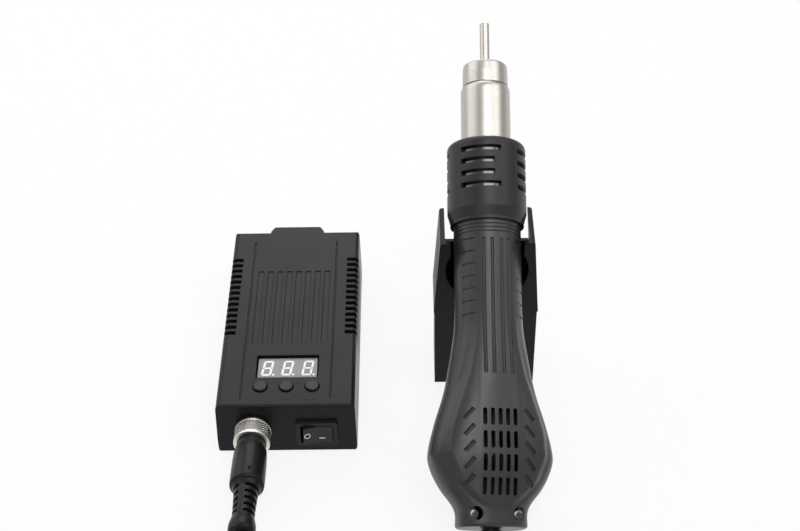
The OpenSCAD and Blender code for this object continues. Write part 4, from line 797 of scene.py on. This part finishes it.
bpy.ops.mesh.primitive_cylinder_add(vertices=40, radius=4.5, depth=8, location=(0, 0, 0),
                                    rotation=(math.pi / 2, 0, 0))
cut_pieces.append(bpy.context.object)
cutter = as_one(cut_pieces)
bpy.ops.object.mode_set(mode="EDIT")
bpy.ops.mesh.select_all(action="SELECT")
bpy.ops.mesh.normals_make_consistent(inside=False)
bpy.ops.object.mode_set(mode="OBJECT")
cut_away(handle, cutter, overlapping=True)
handle.data.transform(face_place @ Matrix.Scale(0.001, 4))
bpy.ops.object.shade_smooth_by_angle(angle=math.radians(32))
finish_as(handle, handle_plastic)
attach(handle, "gun")
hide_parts("handle_upper", "handle_lower")

# ---------------------------------------------------------------- Collar
# A slotted cap of heat-proof black plastic, moulded in one piece. It screws on to the handle's end and
# holds the steel tube, and the air between them keeps it cool enough to touch.
collar_plastic = grained("collar_plastic", (0.021, 0.021, 0.0225), 0.42, grain=1800, depth=0.00004, level=0.3,
                         soft=0.0004)
finish_as(nodes["vent_collar"], collar_plastic)

# ---------------------------------------------------------------- Screws
# Small pan-headed screws with a cross recess, driven into the posts: blackened in the handle's tail, where
# they sit deep in their sinks, and zinc plated in the holder's back and under the box.
screw_black = turned_metal("screw_black", (0.13, 0.127, 0.123), 0.24, (0, 0, 1), rings=1500)


def cross_screws(name, head_r, length, places, material, body, node):
    """Screws along Y with their heads' tops at zero, one for each place, made from a single pattern."""
    pattern = spun("pattern", [
        (0, 0), (head_r * 0.55, -0.03), (head_r * 0.85, -0.2), (head_r, -0.55), (head_r, -1.4), (1.2, -1.4),
        (1.2, 0.5 - length), (0.7, -length), (0, -length),
    ], steps=40)
    for turned_by in (0, 90):
        bpy.ops.mesh.primitive_cube_add(size=1, location=(0, 0.2, 0))
        blade = bpy.context.object
        blade.dimensions = (head_r * 1.15, 1.6, 0.62)
        blade.rotation_euler.y = math.radians(turned_by)
        bpy.ops.object.transform_apply(location=True, rotation=True, scale=True)
        cut_away(pattern, blade)
    screws = []
    for place in places:
        screw = bpy.data.objects.new(name, pattern.data.copy())
        bpy.context.scene.collection.objects.link(screw)
        screw.data.transform(place)
        screws.append(screw)
    bpy.data.objects.remove(pattern)
    made = as_one(screws)
    bpy.ops.object.shade_smooth_by_angle(angle=math.radians(30))
    finish_as(made, material)
    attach(made, body)
    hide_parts(node)


millimetre = Matrix.Scale(0.001, 4)
cross_screws("tail_screws", 2.4, 16, [
    face_place @ millimetre @ Matrix.Translation((x, 6, 9.9)) @ Matrix.Rotation(math.radians(-90), 4, "X")
    for x in (-10.6, 10.6)
], screw_black, "gun", "handle_screws")
head_r = 2.3
edge = head_r / 1000
back_low, back_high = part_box("holder_screws")
foot_low, foot_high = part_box("case_screws")
cross_screws("back_screws", head_r, 10.4, [
    Matrix.Translation((x, back_high[1], z)) @ millimetre @ Matrix.Rotation(math.pi, 4, "Z")
    for x in (back_low[0] + edge, back_high[0] - edge) for z in (back_low[2] + edge, back_high[2] - edge)
], zinc, "station", "holder_screws")
cross_screws("foot_screws", head_r, 13.4, [
    Matrix.Translation((x, y, foot_low[2])) @ millimetre @ Matrix.Rotation(math.pi / 2, 4, "X")
    for x in (foot_low[0] + edge, foot_high[0] - edge) for y in (foot_low[1] + edge, foot_high[1] - edge)
], zinc, "station", "case_screws")
